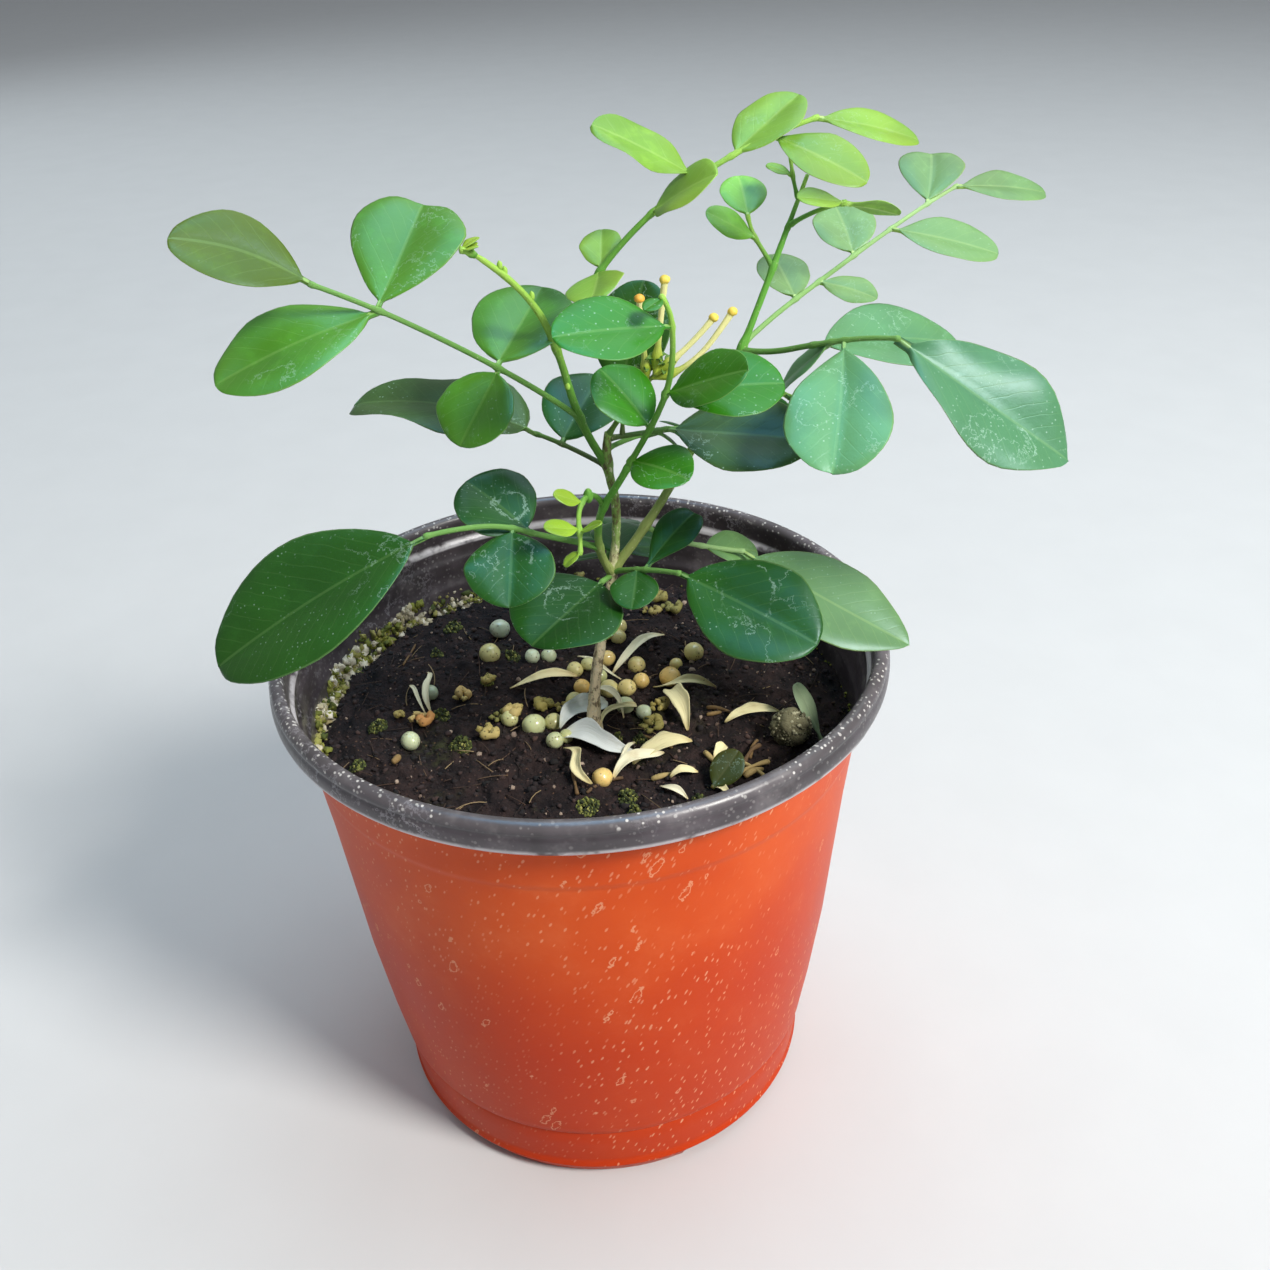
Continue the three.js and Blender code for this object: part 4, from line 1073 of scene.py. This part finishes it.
# Sprays: where each mass of foliage leaves its limb, and every leaflet on it
MASSES = [
    dict(
        name="leaves_left", on="left_shoot", tint="blue_green", at=8.8, heading=[201, 202, 204, 200],
        rise=[43, 37, 34, 28], length=44, thick=[0.55, 0.45, 0.4],
        leaves=[
            leaflet(15, 229, -40, 12.5, 12.5, 10, tone=0.42),
            leaflet(15.5, 66, 27, 17.5, 15.5, -4, tone=0.6),
            leaflet(34, 201, -12, 23.8, 14, 24, tone=0.4),
            leaflet(34.5, 65, 40, 18.8, 15.8, -10, notch=0.07, widest=0.62, tone=0.5),
            leaflet(43.6, 195, 29, 18, 11, 38, droop=0.1, bend=-0.07, finish=4, tone=0.45),
        ],
    ),
    dict(
        name="leaves_back_left", on="trunk", tint="dull_green", at=UPPER_NODE - 0.6, heading=[150, 142],
        rise=[20, 2], length=15, thick=[0.5, 0.4],
        leaves=[
            leaflet(8.5, 62, 27, 15.5, 13, -10, finish=0, tone=0.5),
            leaflet(13.2, 163, 24, 30, 16, 8, droop=0.38, widest=0.42, base=0.42, tip=0.42, wave=0.05,
                    tone=0.5),
        ],
    ),
    dict(
        name="bud_left", on="left_shoot", tint="young", at=38.6, heading=[192, 200],
        rise=[40, 15], length=2.3, thick=[0.42, 0.34],
        leaves=[
            leaflet(0.6, 115, 62, 2.2, 1.4, droop=0.45, tone=0.5),
            leaflet(1.1, 60, 45, 2, 1.3, droop=0.4, tone=0.5),
            leaflet(2.1, 40, 40, 3, 1.8, droop=0.35, tone=0.5),
            leaflet(2.2, 345, 8, 2.6, 1.4, droop=-0.1, tone=0.5),
        ],
    ),
    dict(
        name="leaves_upper", on="left_shoot", tint="lime", at=20.5, heading=[-4, 10, 12, 12, 12, 18],
        rise=[64, 54, 41, 30, 21, 11], length=49, thick=[0.55, 0.5, 0.4],
        leaves=[
            leaflet(12.3, 262, -3, 9.5, 8.4, -18, tone=0.6),
            leaflet(12.8, 88, 32, 8, 6, 6, tone=0.6),
            leaflet(23, 328, 35, 11.5, 10, -26, base=0.45, tone=0.55),
            leaflet(30.5, 190, 33, 16, 8, 30, wave=0.05, tone=0.5),
            leaflet(36, 34, 32, 13.6, 9.4, -12, tone=0.6),
            leaflet(42, 329, -16, 14.8, 9, -20, tone=0.75),
            leaflet(48.6, 11, -11, 16, 7.5, -24),
        ],
    ),
    dict(
        name="leaves_upper_back", on="right_shoot", tint="fresh_green", at=52.2, heading=[145, 135, 118],
        rise=[54, 46, 68], length=8.5, thick=[0.45, 0.35],
        leaves=[
            leaflet(5, 188, 34, 8.6, 5.5, 35),
            leaflet(8.3, 98, 38, 8, 7, 0),
        ],
    ),
    dict(
        name="leaves_top", on="right_shoot", tint="lime", at=57.6, heading=45,
        rise=57, length=8.5, thick=[0.45, 0.35],
        twigs=[
            dict(
                at=0.8, heading=-11, rise=[35, 10], length=9, thick=[0.45, 0.35],
                leaves=[
                    leaflet(8.6, 197, 16, 7.5, 5, 20),
                    leaflet(8.8, 14, -12, 9, 5, 30),
                ],
            ),
            dict(
                at=4.8, heading=[160, 95], rise=72, length=6, thick=[0.35, 0.3],
                leaves=[
                    leaflet(3.5, 165, 23, 4.2, 2.4, 18),
                    leaflet(5.8, 49, 47, 4, 2.4),
                ],
            ),
        ],
    ),
    dict(
        name="leaves_right", on="right_shoot", tint="pale_green", at=40.5, heading=[38, 36, 33, 33, 30],
        rise=[26, 19, 21, 19, 16], length=46.5, thick=[0.5, 0.45, 0.35],
        leaves=[
            leaflet(11.5, 108, 32, 10, 8.5, 0),
            leaflet(16.5, 329, -5, 9.6, 6, -20),
            leaflet(24, 101, 34, 11, 10, 5),
            leaflet(32, 350, -9, 17.5, 9.5, -22),
            leaflet(40, 77, 36, 11.5, 10.5, 0, notch=0.06, widest=0.64),
            leaflet(46, 7, 0, 16, 7.5, -24, droop=0.16),
        ],
    ),
    dict(
        name="leaves_dark_right", on="right_shoot", tint="pale_blue", at=39.5, heading=[-35, -37, -33, -37],
        rise=[2, 20, 16, 6], length=26, thick=[0.55, 0.5, 0.4],
        leaves=[
            leaflet(12.5, 20, -5, 26, 14.6, -22),
            leaflet(15.5, 145, -42, 12, 7, 25),
            leaflet(17.5, 258, -31, 22.2, 15, notch=0.03, widest=0.6),
            leaflet(25.6, 346, -31, 31, 17, -35, tip=0.78, wave=0.045, mark=(-3, 22, 2.4), tone=1),
        ],
    ),
    dict(
        name="leaves_front", on="front_shoot", tint="leaf_green", at=27.6,
        heading=[-22, -28, -32, -60, -100, -160], rise=[60, 60, 66, 76, 80, 55], length=28.5,
        thick=[0.55, 0.5, 0.4],
        leaves=[
            leaflet(0.8, 317, 4, 10.5, 9, -20, tone=0.3),
            leaflet(7, 146, 46, 11, 11, 8, tone=0.62),
            leaflet(13, 323, 28, 14, 9.5, -36, tone=0.14),
            leaflet(13.2, 4, 4, 16.5, 12, -28, tone=0.6),
            leaflet(23.5, 202, 8, 16.5, 11, 30, tone=0.45),
            leaflet(28, 225, -8, 3.4, 2.6, 10, tone=0.2),
        ],
    ),
    dict(
        name="leaves_young", on="front_shoot", tint="young", at=18.3, heading=[-125, -128, -118, -77, -110],
        rise=[66, 36, -40, -76, -71], length=14.5, thick=[0.5, 0.45, 0.35],
        buds=[dict(at=5, radius=0.7, tall=1.6)],
        leaves=[
            leaflet(6.8, 209, 33, 5, 2.8, 35),
            leaflet(10.8, 209, 23, 5.8, 3.4, 25),
            leaflet(11.2, 327, 36, 4.5, 2.2, -20),
            leaflet(14, 200, -30, 3.2, 2.6),
        ],
    ),
    dict(
        name="leaves_low_left", on="front_shoot", tint="dark_green", at=7.5,
        heading=[-152, -150, -150, -160, -157], rise=[30, 26, 30, 6, -3], length=29.5,
        thick=[0.6, 0.5, 0.45],
        leaves=[
            leaflet(12.8, 148, 31, 13, 13.5, 15, mark=(-1, 5, 2.6), tone=0.8),
            leaflet(16, 267, -31, 12.8, 13, mark=(0, 5, 3), tone=0.5),
            leaflet(29, 193, -23, 37, 20.4, 26, droop=0.1, base=0.58, tone=0.3),
        ],
    ),
    dict(
        name="leaves_low_right", on="trunk", tint="dark_green", at=LOW_NODE - 0.3, heading=-41,
        rise=[24, 10], length=14.5, thick=[0.55, 0.5, 0.45],
        leaves=[
            leaflet(5.5, 263, -8, 9, 7.5),
            leaflet(7.2, 39, 34, 13, 7.5, -10, notch=0.06, widest=0.62),
            leaflet(14.2, 325, -10, 24, 16.5, -30, mark=(1.5, 11, 4.2), tone=0.6),
        ],
    ),
    dict(
        name="leaves_low_back_right", on="right_shoot", tint="pale_green", at=9, heading=[30, 10, -10],
        rise=[-46, -20, -4], length=18, thick=[0.5, 0.45],
        leaves=[
            leaflet(11, 17, -14, 10.5, 7, -25),
            leaflet(17.8, 333, -18, 30.5, 15.5, -22, tip=0.85, widest=0.5, tone=0.85),
        ],
    ),
    dict(
        name="leaf_low_front", on="trunk", tint="dark_green", at=LOW_NODE - 0.9, heading=232,
        rise=0, length=3, thick=[0.5, 0.45],
        leaves=[
            # Its high tone darkens it as painted shade: it lies under the leaves above
            leaflet(2.2, 232, -5, 18, 18.5, 10, base=0.42, mark=(-1, 8, 3.4), tone=0.95),
        ],
    ),
    dict(
        name="leaf_low_back", on="trunk", tint="dark_green", at=LOW_NODE + 0.6, heading=80,
        rise=10, length=3, thick=[0.45, 0.4],
        leaves=[
            leaflet(2.8, 86, 1, 13, 9),
        ],
    ),
    dict(
        name="leaves_middle_back", on="trunk", tint="dull_green", at=TRUNK_LENGTH - 0.9, heading=0,
        rise=7, length=9, thick=[0.5, 0.45],
        leaves=[
            leaflet(7.5, 20, -42, 6, 4),
            leaflet(8.8, -14, 2, 22, 14.5, -30, tone=0.4),
        ],
        twigs=[
            dict(
                at=2.2, heading=75, rise=76, length=6, thick=[0.4, 0.35],
                leaves=[leaflet(5.8, 66, 62, 17.6, 12.5, finish=0, tone=0.15)],
            ),
        ],
    ),
    dict(
        name="flower_remains", on="trunk", at=TRUNK_LENGTH - 0.4, heading=-35,
        rise=[57, 47], length=14.5, thick=[0.5, 0.35],
        twigs=[
            style(12, -108, 80, 12),
            style(14.2, 0, 83, 13.5),
            style(14.3, [4, 14], [34, 48], 11.2),
            style(13.4, [-4, 20], [2, 32, 50, 52], 15),
        ],
    ),
    dict(
        name="leaves_back_low", on="trunk", tint="dark_green", at=LOW_NODE - 4, heading=[92, 84],
        rise=[16, -22], length=24, thick=[0.5, 0.4],
        leaves=alternate_leaves(count=5, length=24, heading=86, rise=-14, size=12, spread=62, seed=3),
    ),
    dict(
        name="leaves_back_middle", on="trunk", tint="dark_green", at=UPPER_NODE + 2.4, heading=[50, 38],
        rise=[0, -24], length=26, thick=[0.5, 0.4],
        leaves=alternate_leaves(count=5, length=26, heading=42, rise=-18, size=11.5, spread=52, seed=11),
    ),
    dict(
        name="leaves_back_right", on="right_shoot", tint="leaf_green", at=29, heading=[60, 40],
        rise=[5, -32], length=26, thick=[0.5, 0.4],
        leaves=alternate_leaves(count=5, length=26, heading=45, rise=-32, size=12, spread=60, seed=23),
    ),
]


# Tints: each spray's slot, and its front finish's place in that slot's list; the back's follows
SPRAYS = {
    "blue_green": ("leaf_blue_green", 0), "pale_blue": ("leaf_blue_green", 2), "dark_green": ("leaf_dark", 0),
    "dull_green": ("leaf_dark", 2), "leaf_green": ("leaf_green", 0), "pale_green": ("leaf_green", 2),
    "fresh_green": ("leaf_green", 4), "lime": ("leaf_lime", 0), "young": ("leaf_lime", 2),
}
# The stalk finish of each tint, where it isn't the first
STALK_TINTS = {"lime": 1, "young": 1, "fresh_green": 1, "leaf_green": 1, "pale_green": 2, "dull_green": 3}


def foliage_finishes():
    """Each slot's finishes, a front and its back in turn."""
    vein, pale_vein, dim_vein = 0xA4CC78, 0xC6E08A, 0x86B068
    dark_back = leaf_back_finish("leaf_back_dark", 0x648F4C, vein)
    light_back = leaf_back_finish("leaf_back_light", 0x8FBB52, pale_vein)
    return {
        "leaf_blue_green": [leaf_finish("leaf_blue_green", 0x468426, vein, 0.2, 0.3, 0.5), dark_back,
                            leaf_finish("leaf_pale_blue", 0x58905E, vein, 0.3, 0.2, 0.3), dark_back,
                            leaf_finish("leaf_olive", 0x4A680A, vein, 0.15, 0.03, 0.5), dark_back],
        "leaf_dark": [leaf_finish("leaf_dark", 0x225210, dim_vein, 0.25, 0.16, 0.3), dark_back,
                      leaf_finish("leaf_dull", 0x3A5828, dim_vein, 0.3, 0.12, 0.25), dark_back],
        "leaf_green": [leaf_finish("leaf_green", 0x2C7406, vein, 0.25, 0.2, 0.4), dark_back,
                       leaf_finish("leaf_pale", 0x6C9458, pale_vein, 0.15, 0.2, 0.2), light_back,
                       leaf_finish("leaf_fresh", 0x74B640, pale_vein, 0.2, 0.2, 0.3), light_back],
        "leaf_lime": [leaf_finish("leaf_lime", 0x78A83A, pale_vein, 0.12, 0.12, 0.5), light_back,
                      leaf_finish("leaf_young", 0x86AC32, pale_vein, 0.05, 0.15, 0.3), light_back],
    }


def stalk_finishes():
    return [stem_finish("stalk_green", 0x5E8F3E, 0x6FA050, 0.25),
            stem_finish("stalk_lime", 0x5F9A36, 0x9CCB55, 0.2),
            stem_finish("stalk_pale", 0x86B266, 0xA3C886, 0.2),
            stem_finish("stalk_dark", 0x4A5F2C, 0x4F7A34, 0.4)]


def add_stalk(bag, course, thick, leaves, material, seed):
    """A spray's stalk, with a swelling at its foot and where each leaflet leaves it."""
    places = [0.6] + [leaf["at"] for leaf in leaves]

    def radius(d):
        return SLIMMER * blend(thick, d / course.length) + swelling(d, places, 0.13, 0.5)

    add_tube(bag, course, radius, sides=10, step=0.5, material=material, seed=seed)


def grow_twig(twig, start, leaf_bag, front, stalks, stalk_material, seed):
    """The stalk of a spray or twig with its leaflets and buds, and then the twigs on it."""
    course = Course(start, twig["heading"], twig["rise"], twig["length"])
    leaves = twig.get("leaves", [])
    add_stalk(stalks, course, twig["thick"], leaves, stalk_material, seeded(seed) * 0.4)
    for index, leaf in enumerate(leaves):
        kind = leaf.get("finish", front)
        add_leaf(leaf_bag, course.point(leaf["at"]), leaf, seed + index, kind, kind + 1)
    for bud in twig.get("buds", []):
        radii = (bud["radius"], bud["radius"], bud["radius"] * bud["tall"])
        add_lump(stalks, course.point(bud["at"]), radii, level=3, rough=0.12, seed=seeded(seed + 3),
                 material=stalk_material)
    for index, child in enumerate(twig.get("twigs", [])):
        child_seed = seed + 100 * (index + 1)
        grow_twig(child, course.point(child["at"]), leaf_bag, front, stalks, stalk_material, child_seed)


def make_sprays(limbs):
    finishes = foliage_finishes()
    leaf_bags = {slot: Gathered() for slot in finishes}
    nodes = {slot: [] for slot in finishes}
    stalks = Gathered()
    for index, mass in enumerate(MASSES):
        if mass["name"] == "flower_remains":
            continue
        slot, front = SPRAYS[mass["tint"]]
        nodes[slot].append(mass["name"])
        start, stalk = limbs[mass["on"]].point(mass["at"]), STALK_TINTS.get(mass["tint"], 0)
        grow_twig(mass, start, leaf_bags[slot], front, stalks, stalk, 1000 * (index + 1))
    for slot, bag in leaf_bags.items():
        bag.piece("foliage_" + slot.removeprefix("leaf_"), finishes[slot], slot, nodes[slot])
    carried = [m["name"] for m in MASSES if m["name"] != "flower_remains"]
    stalks.piece("leaf_stalks", stalk_finishes(), "green_bark", carried)


def make_flower_remains(limbs):
    """What is left of a flower head: stalks with swollen bases, styles and round tips."""
    mass = next(m for m in MASSES if m["name"] == "flower_remains")
    bag = Gathered()
    course = Course(limbs[mass["on"]].point(mass["at"]), mass["heading"], mass["rise"], mass["length"])
    add_stalk(bag, course, mass["thick"], [], 0, 0.2)
    for k, twig in enumerate(mass["twigs"]):
        reach = twig["length"] * (1.1 if k == 0 else 1)
        stem = Course(course.point(twig["at"]), twig["heading"], twig["rise"], reach)

        def radius(d):
            return 0.4 + 0.42 * math.exp(-((d - 2.4) / 1.2) ** 2) + 0.12 * (d / stem.length) ** 6

        add_tube(bag, stem, radius, sides=12, step=0.3, material=1, seed=0.1)
        add_lump(bag, stem.point(reach), (0.74, 0.74, 0.62), level=3, rough=0.12,
                 seed=0.9 if k == 0 else 0.15 * k, material=2)
        for sepal in range(4):
            turn = 90 * sepal + 30 * k
            foot = stem.point(1.6) + direction(turn, 30) * 0.45
            add_blade(bag, foot, foot + direction(turn, 25) * 1.5, 0.8, 0.3, 15, seed=sepal + k)
    green = stem_finish("flower_stalk", 0x567A30, 0x86A040, 0.25)
    yellow = stem_finish("flower_style", 0x9DB038, 0xEAE6A0, 0.08, 0.1, 0.42)
    stops = [(0.0, 0xF0D65C), (0.6, 0xECCB50), (1.0, 0xEAA23C)]
    tips = tinted_finish("flower_tip", stops, 0.55, grain=900.0, depth=0.25)
    bag.piece("spent_flowers", [green, yellow, tips], "flower_yellow", ["flower_remains"])


# Litter on the soil: beads, husks, moss, petals, stalks, a stone and the wall's crust

def make_beads():
    bag = Gathered()
    for k, (pixel, radius, age) in enumerate(BEADS):
        radii = (radius, radius * (0.92 + 0.12 * seeded(k)), radius * 0.94)
        add_lump(bag, on_soil(pixel, radius * 0.62), radii, level=4, rough=0.045, grain=1.3, seed=age, turn=k)
    stops = [(0.0, 0xD2DEC6), (0.3, 0xBEC28A), (0.6, 0xE6D28C), (1.0, 0xECBC66)]
    finish = tinted_finish("feed_beads", stops, 0.33, grain=520.0, depth=0.18, speck=0x4A2E14,
                           Specular_IOR_Level=0.5, Coat_Weight=0.5, Subsurface_Weight=0.15,
                           Subsurface_Radius=(0.002, 0.0012, 0.0006))
    bag.piece("feed_beads", [finish], "soil")


def add_husk(bag, centre, radius, age, index):
    """A crushed bead: a lumpy broken ring with crumbs of its filling about it."""
    def thick(d):
        return radius * (0.42 + 0.12 * math.sin(3 * d))

    def dents(angle, d):
        return 0.22 * noise.noise(Vector((math.cos(angle) * 1.4, d * 1.2, index + math.sin(angle))))

    heading = 90 + 40 * index
    course = Course(centre + np.array([radius * 0.55, 0, 0]), [heading, heading + 300], 8, radius * 3.3)
    add_tube(bag, course, thick, sides=10, step=0.3, seed=age, relief=dents)
    for part in range(4):
        away = direction(90 * part + 37 * index, 10) * radius * 0.7
        add_lump(bag, centre + away, np.array([0.4, 0.34, 0.3]) * radius, level=2, rough=0.7, grain=1.6,
                 seed=age * 0.8, turn=part)


def make_husks():
    bag = Gathered()
    for k, (pixel, radius, age) in enumerate(HUSKS):
        add_husk(bag, on_soil(pixel, radius * 0.5), radius, age, k)
    stops = [(0.0, 0x6A6F38), (0.4, 0xA39450), (0.75, 0xC9B274), (1.0, 0xCF8A4A)]
    husk = tinted_finish("bead_husks", stops, 0.75, grain=480.0, depth=0.6, speck=0x1E180C)
    bag.piece("bead_husks", [husk], "soil")


# Moss: lumps to a millimetre of spread, its reach in spreads and its height
MOSS_LUMPS = 110
MOSS_REACH = 0.55
MOSS_HEIGHT = 1.5


def make_moss():
    bag = Gathered()
    for k, (pixel, spread) in enumerate(MOSS):
        centre = on_soil(pixel)
        widest = spread * MOSS_REACH
        rng = np.random.RandomState(40 + k)
        for _ in range(int(MOSS_LUMPS * spread)):
            turn, reach = 2 * math.pi * rng.rand(), widest * math.sqrt(rng.rand())
            x, y, _ = polar(reach, turn, 0) + centre
            if math.hypot(x, y) > SOIL_REACH - 0.4:
                continue
            size = 0.1 + 0.22 * rng.rand()
            height = soil_height(x, y) + MOSS_HEIGHT * (1 - reach / widest) ** 0.7 * rng.rand()
            add_lump(bag, (x, y, height), (size, size, size * 1.3), level=1, rough=0.6, grain=1.8,
                     seed=rng.rand(), turn=turn)
    stops = [(0.0, 0x1C200A), (0.5, 0x3A4418), (0.85, 0x6C7030), (1.0, 0xA8A45C)]
    moss = tinted_finish("moss", stops, 0.9, grain=900.0, depth=0.7)
    bag.piece("moss", [moss], "soil")


# Crust: where its arc starts, its span and where it is lushest, in degrees
CRUST_START = 92
CRUST_SPAN = 118
CRUST_MIDDLE = 152
# Its lowest height, and the height below which it is mostly chalk
CRUST_FOOT = 75.8
CRUST_CHALK = 77.8
CRUST_CLUMPS = 190
CRUST_GRAINS = 220
# How far it stays clear of the wall's face
CRUST_SEAT = 0.15


def add_crust_lump(bag, radius, angle, height, radii, **more):
    """A lump of crust that ends at the wall's face."""
    add_lump(bag, polar(radius, angle, height), radii, within=wall_radius(height) - CRUST_SEAT, **more)


def add_crust_clump(bag, rng):
    """Chalky or mossy lumps about one place on the wall, more of them where the crust is lush."""
    turn = CRUST_START + CRUST_SPAN * rng.rand()
    lush = math.exp(-((turn - CRUST_MIDDLE) / 40) ** 2)
    middle = 76.4 + 4.8 * rng.rand() ** 1.6 * (0.3 + 0.7 * lush)
    chalky = rng.rand() < (0.75 if middle < CRUST_CHALK else 0.15)
    clump = rng.rand() ** 2
    for _ in range(int(2 + 40 * clump * lush)):
        angle = math.radians(turn + 1.3 * rng.randn())
        height = max(CRUST_FOOT, middle + 0.55 * rng.randn())
        size = 0.16 + 0.62 * rng.rand() ** 2.2
        inward = 0.25 + 0.6 * size + (0.7 * abs(rng.randn()) if height < 78 else 0)
        seed = 0.7 + 0.3 * rng.rand() if chalky else 0.6 * rng.rand()
        radii = size * (0.55 + 0.9 * rng.rand(3))
        add_crust_lump(bag, wall_radius(height) - inward, angle, height, radii, level=2, rough=1.1, grain=2.0,
                       seed=seed, turn=6 * rng.rand())


def make_crust():
    """Chalky crust and moss where the soil meets the wall, thick at the left and the back."""
    bag = Gathered()
    rng = np.random.RandomState(71)
    for _ in range(CRUST_CLUMPS):
        add_crust_clump(bag, rng)
    for _ in range(CRUST_GRAINS):
        angle = math.radians(360 * rng.rand())
        height = 76.2 + 1.2 * rng.rand()
        size = 0.14 + 0.26 * rng.rand()
        add_crust_lump(bag, wall_radius(height) - 0.45, angle, height, (size, size, size), level=1, rough=0.7,
                       grain=1.5, seed=0.5 * rng.rand())
    stops = [(0.0, 0x3E4A16), (0.35, 0x8E9038), (0.68, 0xA89A6C), (1.0, 0xEFE8D8)]
    crust = tinted_finish("wall_crust", stops, 0.9, grain=1000.0, depth=0.6)
    bag.piece("wall_crust", [crust], "soil")


def make_petals():
    bag = Gathered()
    for k, (start, end, width, arch, twist, kind) in enumerate(PETALS):
        blunt = 1.2 if k % 3 == 0 else 0.8
        add_blade(bag, on_soil(start, 0.5), on_soil(end, 0.5), width, arch, twist, kind, seed=k, blunt=blunt)
    cream = petal_finish("petal_cream", 0xF2ECCE, 0xC6B078)
    yellow = petal_finish("petal_yellow", 0xEDE2B2, 0xB59C5C)
    white = petal_finish("petal_white", 0xE4E8E6, 0xC9C9B6)
    bag.piece("fallen_petals", [cream, yellow, white], "flower_yellow")


def make_dry_stalks():
    bag = Gathered()
    for k, (start, end, radius, arch) in enumerate(STALKS):
        foot = on_soil(start, radius + 0.2)
        span = on_soil(end, radius + 0.2) - foot
        length = np.linalg.norm(span)
        heading = math.degrees(math.atan2(span[1], span[0]))
        rise = math.degrees(math.asin(span[2] / length))
        swing = 30 * (seeded(k) - 0.5)
        course = Course(foot, [heading - swing, heading + swing], [rise + 14 * arch, rise - 14 * arch],
                        length * 1.04)
        add_tube(bag, course, lambda d, r=radius: r * (1 + 0.25 * math.sin(d * 1.3)), sides=8, step=0.5,
                 seed=seeded(k + 5))
    stops = [(0.0, 0x4A3423), (0.6, 0x7D6138), (1.0, 0xB59F68)]
    brown = tinted_finish("dry_stalks", stops, 0.8, grain=800.0, depth=0.5)
    bag.piece("dry_stalks", [brown], "bark")


def make_fallen_leaves():
    bag = Gathered()
    fallen = leaflet(0, 40, 38, 7.5, 5.4, -20, fold=4)
    leaning = leaflet(0, 128, 58, 11, 4.8, -20, fold=6, widest=0.62, tip=0.4)
    add_leaf(bag, on_soil(DEAD_LEAF, 0.8), fallen, seed=501, front=0, back=0)
    add_leaf(bag, on_soil(DUSTY_LEAF, 0.6), leaning, seed=502, front=1, back=1)
    dead = leaf_finish("leaf_dead", 0x3A4410, 0x7A6B3C, 0.2, 0.05, 0.9)
    dusty = leaf_finish("leaf_dusty", 0x93A480, 0xB4C09C, 0.5, 0.0, 0.1)
    bag.piece("fallen_leaves", [dead, dusty], "leaf_dark")


def make_stone():
    bag = Gathered()
    centre = on_soil(STONE, STONE_LIFT)
    add_lump(bag, centre, STONE_RADII, level=4, rough=0.22, grain=1.6, seed=0.3)
    rng = np.random.RandomState(9)
    for _ in range(STONE_LUMPS):
        place = centre + unit(rng.randn(3)) * (STONE_RADII - 0.05)
        size = 0.14 + 0.26 * rng.rand() ** 2
        add_lump(bag, place, (size, size, size), level=1, rough=0.8, grain=1.8, seed=rng.rand() ** 1.4)
    stops = [(0.0, 0x46442E), (0.4, 0x746F54), (1.0, 0xB6B294)]
    stone = tinted_finish("mossy_stone", stops, 0.9, grain=1100.0, depth=0.8, speck=0x2A2620)
    bag.piece("mossy_stone", [stone], "soil")


# Stage: a plain pale floor, soft studio light and the photograph's camera

def make_stage():
    bpy.ops.mesh.primitive_plane_add(size=60)
    floor = bpy.context.object
    floor.name = "floor"
    f = Finish("floor", 0.85)
    f.colour = f.mix(f.noise(40.0, 4.0), (0.56, 0.56, 0.565, 1), (0.6, 0.6, 0.605, 1))
    floor.data.materials.append(f.done())


def add_light(name, place, size, power, colour, diffuse=True, glossy=True, target=(0, 0, 0.11)):
    light = bpy.data.lights.new(name, "AREA")
    light.shape, light.size, light.energy, light.color = "DISK", size, power, colour
    made = bpy.data.objects.new(name, light)
    made.location = place
    made.visible_diffuse, made.visible_glossy = diffuse, glossy
    made.rotation_mode = "QUATERNION"
    made.rotation_quaternion = (Vector(target) - Vector(place)).to_track_quat("-Z", "Y")
    bpy.context.scene.collection.objects.link(made)


def make_light():
    add_light("key", (0.62, -0.5, 0.85), 0.3, 15.0, (1.0, 0.98, 0.93))
    add_light("sky", (0.35, 0.35, 1.2), 1.2, 8.0, (0.78, 0.92, 1.0))
    add_light("back", (-0.7, 0.8, 0.8), 1.2, 4.0, (0.85, 0.95, 1.0), glossy=False)
    add_light("sheen", (-0.05, -0.1, 1.25), 0.8, 8.0, (0.2, 0.6, 1.0), diffuse=False)
    world = bpy.data.worlds.new("studio")
    bpy.context.scene.world = world
    world.use_nodes = True
    background = world.node_tree.nodes["Background"]
    background.inputs["Color"].default_value = (0.88, 0.94, 1.0, 1)
    background.inputs["Strength"].default_value = 0.28
    bpy.context.scene.view_settings.view_transform = "Standard"


def make_camera():
    camera = bpy.data.cameras.new("camera")
    camera.sensor_width = 36.0
    camera.lens = FOCAL_PIXELS / PHOTO_SIZE * camera.sensor_width
    camera.clip_start, camera.clip_end = 0.01, 10.0
    made = bpy.data.objects.new("camera", camera)
    turn = Matrix((RIGHT, UP, BACK)).transposed()
    made.matrix_world = Matrix.Translation(Vector(CAMERA_PLACE * MM)) @ turn.to_4x4()
    bpy.context.scene.collection.objects.link(made)
    bpy.context.scene.camera = made


LIMBS = grow_limbs()
make_camera()
make_light()
make_stage()
make_pot()
make_soil()
make_crumbs()
make_fibres()
make_beads()
make_husks()
make_moss()
make_crust()
make_petals()
make_dry_stalks()
make_fallen_leaves()
make_stone()
make_trunk(LIMBS["trunk"])
make_shoots(LIMBS)
make_sprays(LIMBS)
make_flower_remains(LIMBS)
